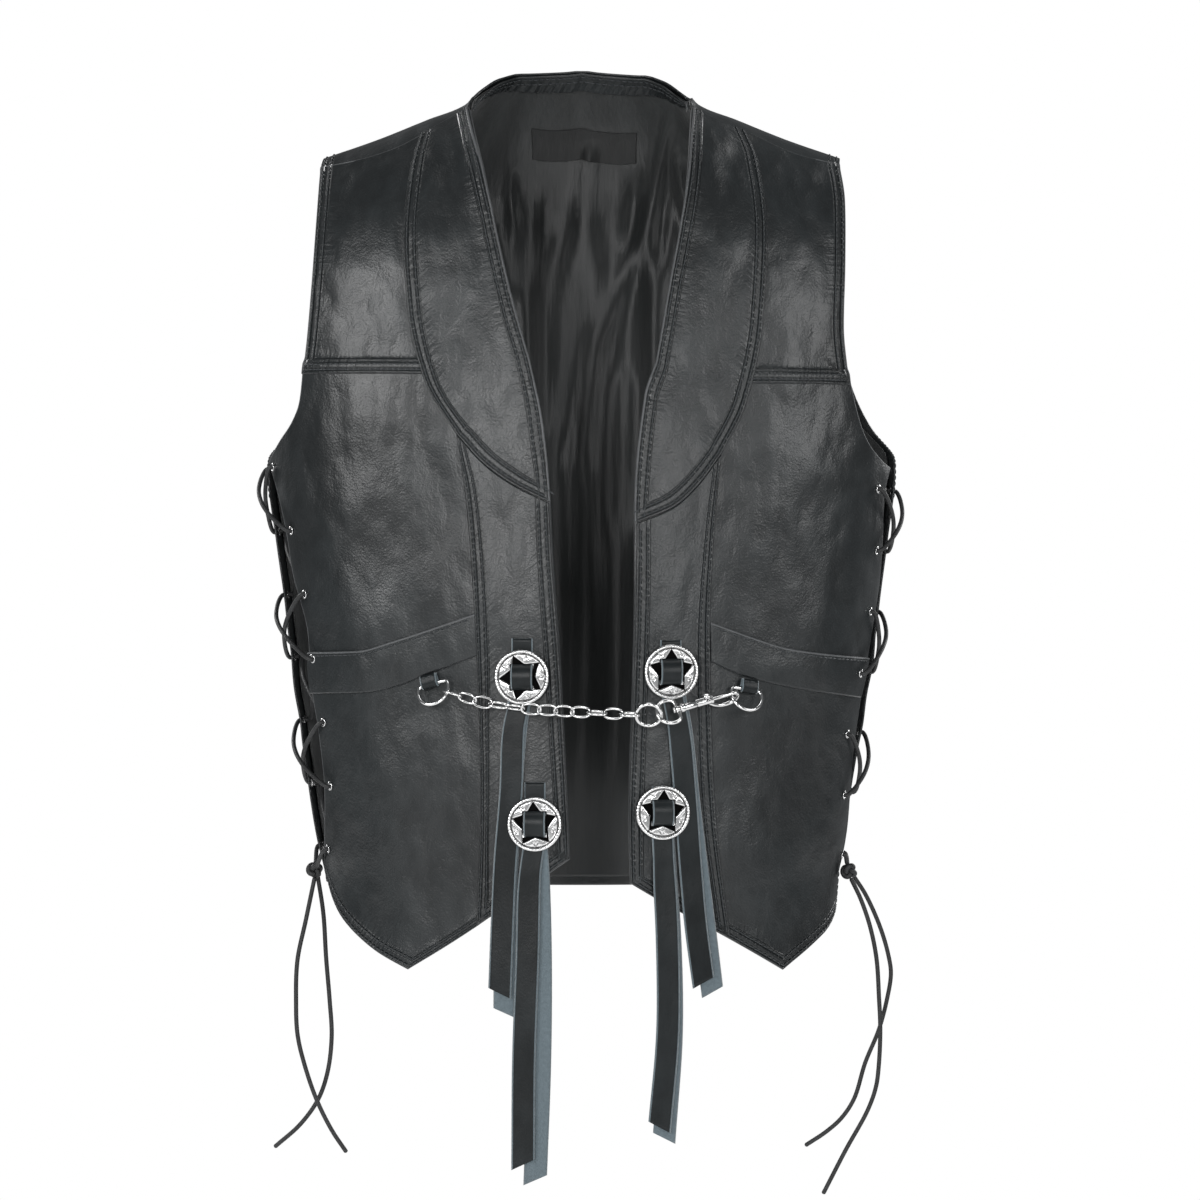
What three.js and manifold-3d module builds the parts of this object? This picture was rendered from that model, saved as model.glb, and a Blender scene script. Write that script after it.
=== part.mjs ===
// A black leather side-laced vest, worn open: yoked fronts with shawl lapels, a chain closure,
// four conchos with thong tails, and lacing down both sides. Millimetres, +X to the right seen
// from the front, +Y to the back, +Z up. The origin is between the shoulders that hold it up.
import * as THREE from "three";
import { mergeVertices } from "three/addons/utils/BufferGeometryUtils.js";
import Module from "manifold-3d";

const wasm = await Module();
wasm.setup();

// Driving dimensions
const LEATHER = 1.6;
const GAP = 0.3;
const SATIN = 1.0;
const WELT_DEPTH = 2.2;
const SHOULDER_ROLL = 110;
const SECTION_POWER = 2.2;
const SHOULDER_HALF_WIDTH = 227;
const LAYER_GAP = 0.6;
const LAP = LEATHER + LAYER_GAP;

const EYELET_ROWS = 7;
const EYELET_HOLE = 6.4;
const WELT_ROW = 3;
const EYELET_INSET = 8;
const LACE_WIDTH = 3.2;
const LACE_LIFT = 3.6;

const THONG_WIDTH = 14.5;
const THONG_THICKNESS = 1.2;
const CONCHO_RADIUS = 19.2;
const CONCHO_STANDOFF = 3.8;
const SLOT_OFFSET = 8.4;

const RING_RADIUS = 11.5;
const RING_WIRE = 1.3;
const RING_FLAT = 5.2;
const LINK_COUNT = 12;
const LINK_WIRE = 0.95;
const LINK_HALF_WIDTH = 3.8;
const LINK_GAP = 0.5;
const O_RING_RADIUS = 8.8;
const O_RING_WIRE = 1.1;
const HOOK_REACH = 40.2;
const BOLT_RADIUS = 1.3;

// The body form that the vest hangs on: half width, front depth and back depth at each height.
const FORM = [
  { z: 30, width: 227, front: 92, back: 84 },
  { z: -60, width: 227, front: 104, back: 96 },
  { z: -150, width: 227, front: 115, back: 102 },
  { z: -241, width: 227, front: 120, back: 103 },
  { z: -292, width: 221, front: 120, back: 101 },
  { z: -336, width: 215, front: 120, back: 98 },
  { z: -380, width: 210, front: 118, back: 95 },
  { z: -423, width: 203.5, front: 116, back: 93 },
  { z: -467, width: 196.5, front: 115, back: 93 },
  { z: -511, width: 190.5, front: 113, back: 94 },
  { z: -540, width: 185, front: 112, back: 95 },
  { z: -610, width: 181, front: 109, back: 96 },
];

// The ridge along the top of each shoulder, from the middle of the neck to past the arm.
const RIDGE = [
  { x: 0, z: 82 },
  { x: 20, z: 80 },
  { x: 45, z: 72 },
  { x: 58, z: 58 },
  { x: 73, z: 38 },
  { x: 84, z: 24 },
  { x: 112, z: 12.8 },
  { x: 148, z: -1.6 },
  { x: 193, z: -17 },
  { x: 229, z: -30 },
];

// Below the shoulder line the back fills the hollow beside the neck: its ridge eases to this one.
const BACK_RIDGE = [
  { x: 0, z: 82 },
  { x: 45, z: 70 },
  { x: 84, z: 46 },
  { x: 112, z: 27 },
  { x: 148, z: 7 },
  { x: 193, z: -14 },
  { x: 229, z: -30 },
];
const BACK_EASE = 150;

// Cut edges of the two fronts, as x, z on the form. Each runs upwards or towards the wearer's arm.
const FRONTS = [
  {
    side: "left",
    sign: -1,
    neck: [[-36, -168], [-48, -125], [-59.5, -75], [-69, -28], [-75, -4.5], [-80.5, 18.5]],
    opening: [
      [-8.5, -517.5], [-9.5, -491], [-15, -378], [-20, -308], [-22.5, -258], [-27.5, -209.5],
      [-36, -168],
    ],
    shoulder: [[-80.5, 18.5], [-101.5, 5.5], [-133, -12], [-158.5, -19.5], [-188.5, -24]],
    armhole: [[-198, -166], [-194.5, -136], [-191, -92], [-189, -48.5], [-188.5, -24]],
    underarm: [[-226, -234], [-216.5, -220.5], [-206.5, -207], [-201, -193], [-198, -166]],
    flank: [
      [-185, -531.5], [-183.5, -475], [-187.5, -431], [-193, -395], [-195, -360], [-207, -313.5],
      [-214.5, -269], [-226, -234],
    ],
    yoke: [[-36, -172], [-198, -168]],
    hemInner: [[-8.5, -517.5], [-22, -527], [-73, -565], [-121.5, -597]],
    hemOuter: [[-121.5, -597], [-150, -582.5], [-170, -565.5], [-179.5, -549], [-185, -531.5]],
    lapelLow: [[-23, -266.5], [-48, -254], [-68, -239.5], [-87, -218.5]],
    lapelHigh: [
      [-87, -218.5], [-110, -179], [-121.5, -130.5], [-125, -78.5], [-121, -27.5], [-115.5, -3],
    ],
    placket: [
      [-73, -565], [-70, -476.5], [-71.5, -406], [-75.5, -322], [-80, -265.5], [-87, -218.5],
    ],
    weltTop: [[-74.5, -346], [-109.5, -358], [-132.5, -365.5], [-156, -372], [-193.5, -373.5]],
    weltBottom: [[-73, -374], [-110, -388], [-127, -394.5], [-149, -400], [-191.5, -402]],
    hemPointShare: 0.6,
    lapelFoot: 0.716,
    lapelShoulderShare: 0.345,
    eyeletTop: -240,
    eyeletPitch: 45.8,
  },
  {
    side: "right",
    sign: 1,
    neck: [[52.5, -168], [63, -107], [70, -68], [75, -27.5], [76.5, -4.5], [78.5, 18]],
    opening: [
      [34.5, -534.5], [33.5, -491], [36.5, -378], [37.5, -322], [37.5, -269.5], [44.5, -192],
      [52.5, -168],
    ],
    shoulder: [[78.5, 18], [94, 10], [117, 1], [157.5, -16.5], [186, -21.5]],
    armhole: [[190, -176], [186, -136.5], [187.5, -92], [188.5, -48.5], [186, -21.5]],
    underarm: [[220, -240], [213.5, -235.5], [202, -221.5], [196.5, -207.5], [190, -176]],
    flank: [
      [186.5, -538], [190, -510], [191, -458.5], [197.5, -405], [204.5, -368], [213.5, -318],
      [215.5, -259.5], [220, -240],
    ],
    yoke: [[52.5, -177.5], [190, -176]],
    hemInner: [[34.5, -534.5], [48.5, -543], [103.5, -574.5], [142.5, -598.5]],
    hemOuter: [[142.5, -598.5], [165, -582.5], [179.5, -568], [185.5, -554], [186.5, -538]],
    lapelLow: [[39, -281], [64.5, -270], [81, -255], [97.5, -233]],
    lapelHigh: [[97.5, -233], [115, -197], [126.5, -141], [130, -78], [124.5, -23.5], [116.5, 0]],
    placket: [[103.5, -573], [94, -491.5], [91, -435], [89.5, -352], [92, -293.5], [97.5, -233]],
    weltTop: [[90.5, -352], [122.5, -363.5], [145.5, -370.5], [177, -375], [203.5, -377.5]],
    weltBottom: [[91, -378.5], [109, -386.5], [133, -393.5], [155, -398], [197.5, -405]],
    hemPointShare: 0.7,
    lapelFoot: 0.69,
    lapelShoulderShare: 0.365,
    eyeletTop: -256,
    eyeletPitch: 44,
  },
];

// The back: the neck edge from right to left as x, z, and the armhole as x against the length s
// along the surface from the shoulder ridge, with s over 0 in front of the ridge.
const BACK_NECK = [
  [79, 19], [76, 32.5], [64, 43.5], [40, 52.5], [0, 57], [-42, 53.5], [-66, 44], [-77.5, 33],
  [-81, 19.5],
];
const BACK_ARMHOLE = [
  { s: -266, x: 226.9 },
  { s: -250, x: 214 },
  { s: -225, x: 200 },
  { s: -190, x: 191 },
  { s: -100, x: 188 },
  { s: 0, x: 187.4 },
];
const BACK_HEM = [[1, -540], [0.5, -546], [0, -550], [-0.5, -547], [-1, -541]];

// Folds of the satin lining: the line each follows, its half width and how far it stands in.
const LINING_FOLDS = [
  { xTop: 8, xLow: -2, width: 13, depth: 7 },
  { xTop: 60, xLow: 42, width: 13, depth: 8 },
  { xTop: -42, xLow: -34, width: 14, depth: 6 },
  { xTop: -92, xLow: -76, width: 15, depth: 6 },
  { xTop: 106, xLow: 94, width: 15, depth: 6 },
];
const FOLDS_START = -14;

// Conchos: centre on the placket as x, z, and turn in degrees about the outward direction.
const CONCHOS = [
  { name: "upper_left", x: -41, z: -389.4, turn: 22, loop: 27 },
  { name: "lower_left", x: -32.2, z: -492.5, turn: 4, loop: 29 },
  { name: "upper_right", x: 62.1, z: -385.6, turn: 0, loop: 22 },
  { name: "lower_right", x: 56.2, z: -484.5, turn: -3, loop: 18 },
];

// Thong tails: the two layers' routes as x, z below the concho, and the slant of the cut end.
const TAILS = {
  upper_left: {
    front: [[-46.5, -425], [-48.5, -470], [-52.5, -520], [-54.5, -565], [-56.2, -612]],
    rear: [[-45.5, -425], [-48.8, -470], [-51.5, -520], [-52.6, -565], [-53, -626]],
    slant: -7,
  },
  lower_left: {
    front: [[-35.6, -530], [-37.2, -587.6], [-39.6, -657], [-40.2, -732]],
    rear: [[-30, -530], [-28.5, -587.6], [-29, -660], [-32, -743]],
    slant: 8,
  },
  upper_right: {
    front: [[67.5, -426], [72, -476], [75.5, -525], [79, -565], [84.2, -605]],
    rear: [[69, -426], [74.5, -476], [80.4, -525], [85.4, -565], [91, -612]],
    slant: 6,
  },
  lower_right: {
    front: [[57, -522], [59.4, -575], [59.6, -640], [54, -706]],
    rear: [[58, -522], [61.5, -575], [62.5, -640], [57.5, -714]],
    slant: -7,
  },
};

// The free ends of the side laces as x, y, z from each knot down.
const LACE_TAILS = {
  left_a: [
    [-195, -6, -541], [-201, -9, -569], [-207, -10, -598], [-208, -10, -628], [-207, -9, -652],
    [-202, -8, -674], [-193, -8, -700], [-182, -8, -722], [-172, -8, -737],
  ],
  left_b: [
    [-191.5, 1, -541], [-189, 3, -565], [-187, 4, -598], [-184.5, 4, -628], [-183, 4, -655],
    [-186, 3, -681], [-193, 3, -701], [-206, 3, -719], [-224, 4, -735],
  ],
  right_a: [
    [196, -19, -540], [202, -18, -552], [209, -16, -572], [214, -14, -596], [216, -12, -625],
    [217, -11, -648], [216, -10, -674], [214, -9, -690], [208, -9, -707], [192, -9, -736],
    [176, -9, -767],
  ],
  right_b: [
    [199, -11, -538], [207, -4, -551], [217.5, 2, -574], [224, 7, -595], [226, 7, -609],
    [223, 6, -628], [217, 5, -650], [207, 4, -674], [199, 4, -700], [190, 4, -714],
    [179, 4, -724], [164, 4, -734],
  ],
};

const KNOTS = { left: { turn: -0.985, z: -531 }, right: { turn: 0.93, z: -531 } };
const KNOT_RADIUS = 6;
const KNOT_LIFT = 8.8;

// Ring tabs: bar centre as x, z, turn in degrees and how far the ring has slid along its bar.
const TABS = {
  left: { x: -104.9, z: -394.8, turn: 16, slide: 2.2 },
  right: { x: 116.4, z: -398.4, turn: -10, slide: -2.2 },
};
const TAB_WIDTH = 12.4;
const TAB_THICKNESS = 1.2;
const RING_TILT = -34;
const HOOK_RISE = 15.8;
const HOOK_CONTACT = 196;
const HOOK_REARWARD = 0.31;
const HOOK_ROLL = 45;
const LINK_TILT = 31;

// How each chain link is turned about the chain, in degrees from lying flat.
const LINK_TURNS = [82, 32, -18, -66, -112, -160, -208, -158, -206, -254, -206, -256];

const leatherMaterial = new THREE.MeshStandardMaterial({ color: 0x1b1d1f, roughness: 0.42, metalness: 0 });
const satinMaterial = new THREE.MeshStandardMaterial({ color: 0x26292b, roughness: 0.5, metalness: 0 });
const chromeMaterial = new THREE.MeshStandardMaterial({ color: 0xd8dade, roughness: 0.16, metalness: 1 });
const laceMaterial = new THREE.MeshStandardMaterial({ color: 0x141516, roughness: 0.6, metalness: 0 });

const vest = new THREE.Group();
vest.name = "leather_vest";

function addPiece(name, geometry, material, matrix) {
  const mesh = new THREE.Mesh(geometry, material);
  mesh.name = name;
  if (matrix) mesh.applyMatrix4(matrix);
  vest.add(mesh);
  return mesh;
}

// A smooth curve through a table that never overshoots its rows.
function smooth(xs, ys, x) {
  const last = xs.length - 1;
  const rising = xs[last] > xs[0] ? 1 : -1;
  if ((x - xs[0]) * rising <= 0) return ys[0];
  if ((x - xs[last]) * rising >= 0) return ys[last];
  const slope = (i) => (ys[i + 1] - ys[i]) / (xs[i + 1] - xs[i]);
  const bend = (i) => {
    if (i === 0) return slope(0);
    if (i === last) return slope(last - 1);
    const before = slope(i - 1);
    const after = slope(i);
    return before * after <= 0 ? 0 : (2 * before * after) / (before + after);
  };
  let i = 0;
  while ((x - xs[i + 1]) * rising > 0) i += 1;
  const step = xs[i + 1] - xs[i];
  const t = (x - xs[i]) / step;
  const far = t * t * (3 - 2 * t);
  return (1 - far) * ys[i] + far * ys[i + 1]
    + t * (1 - t) ** 2 * step * bend(i) - t * t * (1 - t) * step * bend(i + 1);
}

function column(rows, key) {
  return rows.map((row) => row[key]);
}

function formAt(key, z) {
  return smooth(column(FORM, "z"), column(FORM, key), z);
}

function ridgeAt(x, s = 0) {
  const front = smooth(column(RIDGE, "x"), column(RIDGE, "z"), Math.abs(x));
  if (s >= 0) return front;
  const back = smooth(column(BACK_RIDGE, "x"), column(BACK_RIDGE, "z"), Math.abs(x));
  return front + (back - front) * THREE.MathUtils.smoothstep(-s, 0, BACK_EASE);
}

// The rounded section: a runs from -1 at the left flank through 0 in the middle to 1.
function across(a) {
  const sine = Math.sin((a * Math.PI) / 2);
  return Math.sign(sine) * Math.abs(sine) ** (2 / SECTION_POWER);
}

function deep(a) {
  const cosine = Math.cos((a * Math.PI) / 2);
  return Math.sign(cosine) * Math.abs(cosine) ** (2 / SECTION_POWER);
}

// A point of the form. s is the length down the surface from the shoulder ridge, over 0 in
// front and under 0 behind. Past a = 1 or -1 the section goes on round to the other side.
function bare(a, s) {
  const turn = Math.min(Math.abs(s) / SHOULDER_ROLL, Math.PI / 2);
  const below = Math.max(0, Math.abs(s) - (SHOULDER_ROLL * Math.PI) / 2);
  const ridge = ridgeAt(SHOULDER_HALF_WIDTH * across(a), s);
  const z = ridge - SHOULDER_ROLL * (1 - Math.cos(turn)) - below;
  const facing = (s < 0 ? 1 : -1) * deep(a);
  const depth = facing > 0 ? formAt("back", z) : formAt("front", z);
  return new THREE.Vector3(formAt("width", z) * across(a), facing * depth * Math.sin(turn), z);
}

function outward(a, s) {
  const h = 0.004;
  const alongA = bare(a + h, s).sub(bare(a - h, s));
  const alongS = bare(a, s + 1).sub(bare(a, s - 1));
  return alongS.cross(alongA).normalize();
}

function onForm(a, s, out) {
  return bare(a, s).addScaledVector(outward(a, s), out);
}

// The a, s of a point of the front (behind = 1) or the back (behind = -1) seen at x, z.
function locate(x, z, behind = 1) {
  const share = Math.min(Math.abs(x) / formAt("width", z), 1);
  const a = (Math.sign(x) * Math.asin(share ** (SECTION_POWER / 2)) * 2) / Math.PI;
  let near = 0;
  let far = 900;
  for (let halving = 0; halving < 40; halving++) {
    const middle = (near + far) / 2;
    if (bare(a, behind * middle).z > z) near = middle;
    else far = middle;
  }
  return [a, behind * near];
}

// An edge through points x, z as a function of its share t, from 0 to 1, moved by lift in z.
function edge(points, lift = 0, behind = 1) {
  const lengths = [0];
  for (let i = 1; i < points.length; i++) {
    const [x, z] = [points[i][0] - points[i - 1][0], points[i][1] - points[i - 1][1]];
    lengths.push(lengths[i - 1] + Math.hypot(x, z));
  }
  const total = lengths[lengths.length - 1];
  return (t) => {
    const x = smooth(lengths, column(points, 0), t * total);
    const z = smooth(lengths, column(points, 1), t * total);
    return locate(x, z + lift, behind);
  };
}

function joined(first, second, share) {
  return (t) => (t < share ? first(t / share) : second((t - share) / (1 - share)));
}

function backwards(curve) {
  return (t) => curve(1 - t);
}

function part(curve, from, to) {
  return (t) => curve(from + (to - from) * t);
}

// A patch between four edges: left and right run upwards, bottom and top from left to right.
function patch(left, right, bottom, top) {
  const mix = (u, v, i) => (1 - u) * left(v)[i] + u * right(v)[i] + (1 - v) * bottom(u)[i] + v * top(u)[i]
    - (1 - u) * ((1 - v) * left(0)[i] + v * left(1)[i]) - u * ((1 - v) * right(0)[i] + v * right(1)[i]);
  return (u, v) => [mix(u, v, 0), mix(u, v, 1)];
}

// A sheet of cloth over a patch: a box whose faces are laid on the form between two offsets.
function sheet(columns, rows, place, inner, outer, fold = () => 0) {
  const box = new THREE.BoxGeometry(1, 1, 1, columns, rows, 1);
  const at = box.attributes.position;
  for (let i = 0; i < at.count; i++) {
    const [a, s] = place(at.getX(i) + 0.5, at.getY(i) + 0.5);
    const point = onForm(a, s, 0);
    const out = inner + (outer - inner) * (at.getZ(i) + 0.5) + fold(point.x, point.z);
    point.addScaledVector(outward(a, s), out);
    at.setXYZ(i, point.x, point.y, point.z);
  }
  alignDiagonals(box);
  box.computeVertexNormals();
  return box;
}

// A box splits its two large faces along opposite diagonals. Here the inner face takes the outer
// face's split, so both sides of a wall, and the layers on it, stay parallel.
function alignDiagonals(box) {
  const inner = box.groups[5];
  for (let i = inner.start; i < inner.start + inner.count; i += 6) {
    const [a, b, d, , c] = Array.from({ length: 6 }, (_, k) => box.index.getX(i + k));
    [a, b, c, a, c, d].forEach((corner, k) => box.index.setX(i + k, corner));
  }
}

function toSolid(geometry) {
  const plain = geometry.clone();
  plain.deleteAttribute("normal");
  plain.deleteAttribute("uv");
  const merged = mergeVertices(plain, 1e-3);
  const position = merged.attributes.position;
  return new wasm.Manifold(new wasm.Mesh({
    numProp: 3,
    vertProperties: new Float32Array(position.array),
    triVerts: new Uint32Array(merged.index.array),
  }));
}

function fromSolid(solid) {
  const mesh = solid.getMesh();
  const geometry = new THREE.BufferGeometry();
  geometry.setAttribute("position", new THREE.BufferAttribute(new Float32Array(mesh.vertProperties), 3));
  geometry.setIndex(new THREE.BufferAttribute(new Uint32Array(mesh.triVerts), 1));
  geometry.computeVertexNormals();
  return geometry;
}

function cut(geometry, tools) {
  return fromSolid(tools.reduce((solid, tool) => solid.subtract(toSolid(tool)), toSolid(geometry)));
}

function join(geometries) {
  return fromSolid(geometries.map(toSolid).reduce((sum, next) => sum.add(next)));
}

// A frame on the surface seen at x, z: right, up and out, turned about the outward direction.
function frameAt(x, z, out, turn = 0) {
  const [a, s] = locate(x, z);
  const normal = outward(a, s);
  const right = new THREE.Vector3(1, 0, 0).addScaledVector(normal, -normal.x).normalize();
  const up = new THREE.Vector3().crossVectors(normal, right);
  const matrix = new THREE.Matrix4().makeBasis(right, up, normal).setPosition(onForm(a, s, out));
  return matrix.multiply(new THREE.Matrix4().makeRotationZ(THREE.MathUtils.degToRad(turn)));
}

// A tube through its points, straight between them.
class PointPath extends THREE.Curve {
  constructor(points) {
    super();
    this.points = points;
  }

  getPoint(t, target = new THREE.Vector3()) {
    const place = t * (this.points.length - 1);
    const i = Math.min(Math.floor(place), this.points.length - 2);
    return target.lerpVectors(this.points[i], this.points[i + 1], place - i);
  }

  getTangent(t, target = new THREE.Vector3()) {
    const h = 0.5 / (this.points.length - 1);
    const [ahead, behind] = [this.getPoint(Math.min(1, t + h)), this.getPoint(Math.max(0, t - h))];
    return target.subVectors(ahead, behind).normalize();
  }

  getPointAt(t, target) {
    return this.getPoint(t, target);
  }

  getTangentAt(t, target) {
    return this.getTangent(t, target);
  }
}

function discShape(radius, sides) {
  const shape = new THREE.Shape();
  for (let i = 0; i < sides; i++) {
    const angle = (i / sides) * Math.PI * 2;
    const corner = [radius * Math.cos(angle), radius * Math.sin(angle)];
    if (i) shape.lineTo(...corner);
    else shape.moveTo(...corner);
  }
  shape.closePath();
  return shape;
}

function tube(points, radius, sides = 8) {
  const path = new PointPath(points);
  return new THREE.ExtrudeGeometry(discShape(radius, sides), { steps: points.length - 1, extrudePath: path });
}

function smoothTube(points, radius, steps, sides = 8) {
  const route = new THREE.CatmullRomCurve3(points, false, "centripetal");
  return tube(route.getSpacedPoints(steps), radius, sides);
}

// A closed wire: outline gives the centre line in its plane for each angle.
function wireLoop(outline, wire, around, sides) {
  const large = 100;
  const torus = new THREE.TorusGeometry(large, wire, sides, around);
  const at = torus.attributes.position;
  for (let i = 0; i < at.count; i++) {
    const angle = Math.atan2(at.getY(i), at.getX(i));
    const off = Math.hypot(at.getX(i), at.getY(i)) - large;
    const [x, y] = outline(angle);
    const [x1, y1] = outline(angle + 0.01);
    const [x0, y0] = outline(angle - 0.01);
    const length = Math.hypot(x1 - x0, y1 - y0);
    at.setXYZ(i, x + (off * (y1 - y0)) / length, y - (off * (x1 - x0)) / length, at.getZ(i));
  }
  return torus;
}

// A D outline: a circle with its top cut flat.
function dOutline(radius, flat) {
  return (angle) => {
    const rise = Math.max(Math.sin(angle), 0.001);
    const reach = (radius ** -9 + (flat / rise) ** -9) ** (-1 / 9);
    return [reach * Math.cos(angle), reach * Math.sin(angle)];
  };
}

// A flat strip along a route of points, each with the direction of its width, from its far end up.
function strip(route, width, thickness, slant = 0) {
  const points = route.map((step) => step.point).reverse();
  const sides = route.map((step) => step.side).reverse();
  const steps = points.length - 1;
  const box = new THREE.BoxGeometry(1, 1, 1, 1, steps, 1);
  const at = box.attributes.position;
  for (let i = 0; i < at.count; i++) {
    const row = Math.round((at.getY(i) + 0.5) * steps);
    const next = points[Math.min(row + 1, steps)];
    const back = points[Math.max(row - 1, 0)];
    const along = new THREE.Vector3().subVectors(next, back).normalize();
    const side = sides[row].clone().addScaledVector(along, -along.dot(sides[row])).normalize();
    const out = new THREE.Vector3().crossVectors(side, along);
    const place = points[row].clone().addScaledVector(side, at.getX(i) * width);
    place.addScaledVector(out, at.getZ(i) * thickness);
    if (row === 0) place.addScaledVector(along, slant * at.getX(i));
    at.setXYZ(i, place.x, place.y, place.z);
  }
  return box;
}

// Leather panels
const SEAM_HALF_GAP = 0.2;
const FLANK_LIMIT = 0.95;
const WAVE_HEIGHT = 2.2;
const WAVE_CENTRE = 132;
const WAVE_REACH = 42;

// The front's side edge stops short of the widest line of the form.
function heldShort(curve) {
  return (t) => {
    const [a, s] = curve(t);
    return [Math.sign(a) * Math.min(Math.abs(a), FLANK_LIMIT), s];
  };
}

function frontEdges(front) {
  const hem = joined(edge(front.hemInner), edge(front.hemOuter), front.hemPointShare);
  return {
    hem,
    neck: edge(front.neck),
    opening: edge(front.opening),
    armhole: edge(front.armhole),
    underarm: edge(front.underarm, -SEAM_HALF_GAP),
    flank: heldShort(edge(front.flank)),
    shoulder: edge(front.shoulder, -SEAM_HALF_GAP),
    yokeUpper: edge(front.yoke, SEAM_HALF_GAP),
    yokeLower: edge(front.yoke, -SEAM_HALF_GAP),
  };
}

// The edges are given from the opening outwards, so the left front's patches are mirrored.
function sided(front, inner, outer, bottom, top) {
  if (front.sign > 0) return patch(inner, outer, bottom, top);
  return patch(outer, inner, backwards(bottom), backwards(top));
}

function hangingWave(x, z) {
  const low = THREE.MathUtils.smoothstep(-z, 230, 480);
  const middle = Math.max(0, 1 - ((Math.abs(x) - WAVE_CENTRE) / WAVE_REACH) ** 2);
  return low * middle * WAVE_HEIGHT * Math.sin(x / 19 + z / 130);
}

function buildFront(front) {
  const edges = frontEdges(front);
  const yoke = sided(front, edges.neck, edges.armhole, edges.yokeUpper, edges.shoulder);
  addPiece(`${front.side}_front_yoke`, sheet(8, 12, yoke, 0, LEATHER), leatherMaterial);

  const rowsOfUnderarm = 4;
  const rows = 18;
  const outer = joined(edges.flank, edges.underarm, 1 - rowsOfUnderarm / rows);
  const body = sided(front, edges.opening, outer, edges.hem, edges.yokeLower);
  const holes = eyelets(front).map((row) => drillAt(row.front));
  const panel = sheet(10, rows, body, 0, LEATHER, hangingWave);
  addPiece(`${front.side}_front_panel`, cut(panel, holes), leatherMaterial);

  const lapelOuter = joined(edge(front.lapelLow), edge(front.lapelHigh), 0.3);
  const lapelInner = joined(part(edges.opening, front.lapelFoot, 1), edges.neck, 0.36);
  const tip = (t) => lapelInner(0).map((value, i) => value + (lapelOuter(0)[i] - value) * t);
  const lapelTop = part(edge(front.shoulder, -1.2), 0, front.lapelShoulderShare);
  const lapel = sided(front, lapelInner, lapelOuter, tip, lapelTop);
  addPiece(`${front.side}_lapel`, sheet(4, 20, lapel, LAP, LAP + LEATHER), leatherMaterial);

  const placketTop = edge(front.lapelLow, -1.5);
  const placketHem = edge(front.hemInner.filter(([x]) => Math.abs(x) <= Math.abs(front.placket[0][0])));
  const placketInner = part(edges.opening, 0, front.lapelFoot - 0.012);
  const placketOuter = edge(front.placket, -1.5);
  const placket = sided(front, placketInner, placketOuter, placketHem, placketTop);
  addPiece(`${front.side}_placket`, sheet(4, 16, placket, LAP, LAP + LEATHER, hangingWave), leatherMaterial);

  const weltInner = edge([front.weltBottom[0], front.weltTop[0]]);
  const weltOuter = edge([front.weltBottom[4], front.weltTop[4]]);
  const welt = sided(front, weltInner, weltOuter, edge(front.weltBottom), edge(front.weltTop));
  const weltSheet = sheet(10, 1, welt, LAP + GAP, LAP + WELT_DEPTH, hangingWave);
  addPiece(`${front.side}_pocket_welt`, cut(weltSheet, [holes[WELT_ROW]]), leatherMaterial);
}

// Side eyelets, in the front's edge and the back's edge
function girth(turn, z, out) {
  const drop = ridgeAt(SHOULDER_HALF_WIDTH * across(turn)) - z;
  return onForm(turn, (SHOULDER_ROLL * Math.PI) / 2 + drop - SHOULDER_ROLL, out);
}

function flankTurn(front, z) {
  const points = front.flank;
  const x = smooth(column(points, 1), column(points, 0), z);
  const turn = locate(x, z)[0];
  return Math.sign(turn) * Math.min(Math.abs(turn), FLANK_LIMIT);
}

function inset(turn, z, distance) {
  const perTurn = girth(turn + 0.01, z, 0).distanceTo(girth(turn - 0.01, z, 0)) / 0.02;
  return distance / perTurn;
}

function eyelets(front) {
  return Array.from({ length: EYELET_ROWS }, (_, row) => {
    const z = front.eyeletTop - row * front.eyeletPitch;
    const edgeTurn = flankTurn(front, z);
    const frontTurn = edgeTurn - front.sign * inset(edgeTurn, z, EYELET_INSET);
    const backTurn = front.sign * (1 + Math.abs(inset(front.sign * 1.03, z, EYELET_INSET)));
    return { front: { turn: frontTurn, z }, back: { turn: backTurn, z } };
  });
}

function drillAt(eyelet) {
  const from = girth(eyelet.turn, eyelet.z, -6);
  const to = girth(eyelet.turn, eyelet.z, 8);
  return tube([from, to], EYELET_HOLE / 2, 6);
}

// Back, lining and neck pieces
const SEAM_COLUMNS = 8;
const NECK_COLUMNS = 8;
const BACK_COLUMNS = 2 * SEAM_COLUMNS + NECK_COLUMNS;
const BACK_ROWS = 18;
const BACK_LOW_ROWS = 7;
const PATCH_ROWS = [15, 16];
const UNDERARM_SHARE = 0.52;

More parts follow.
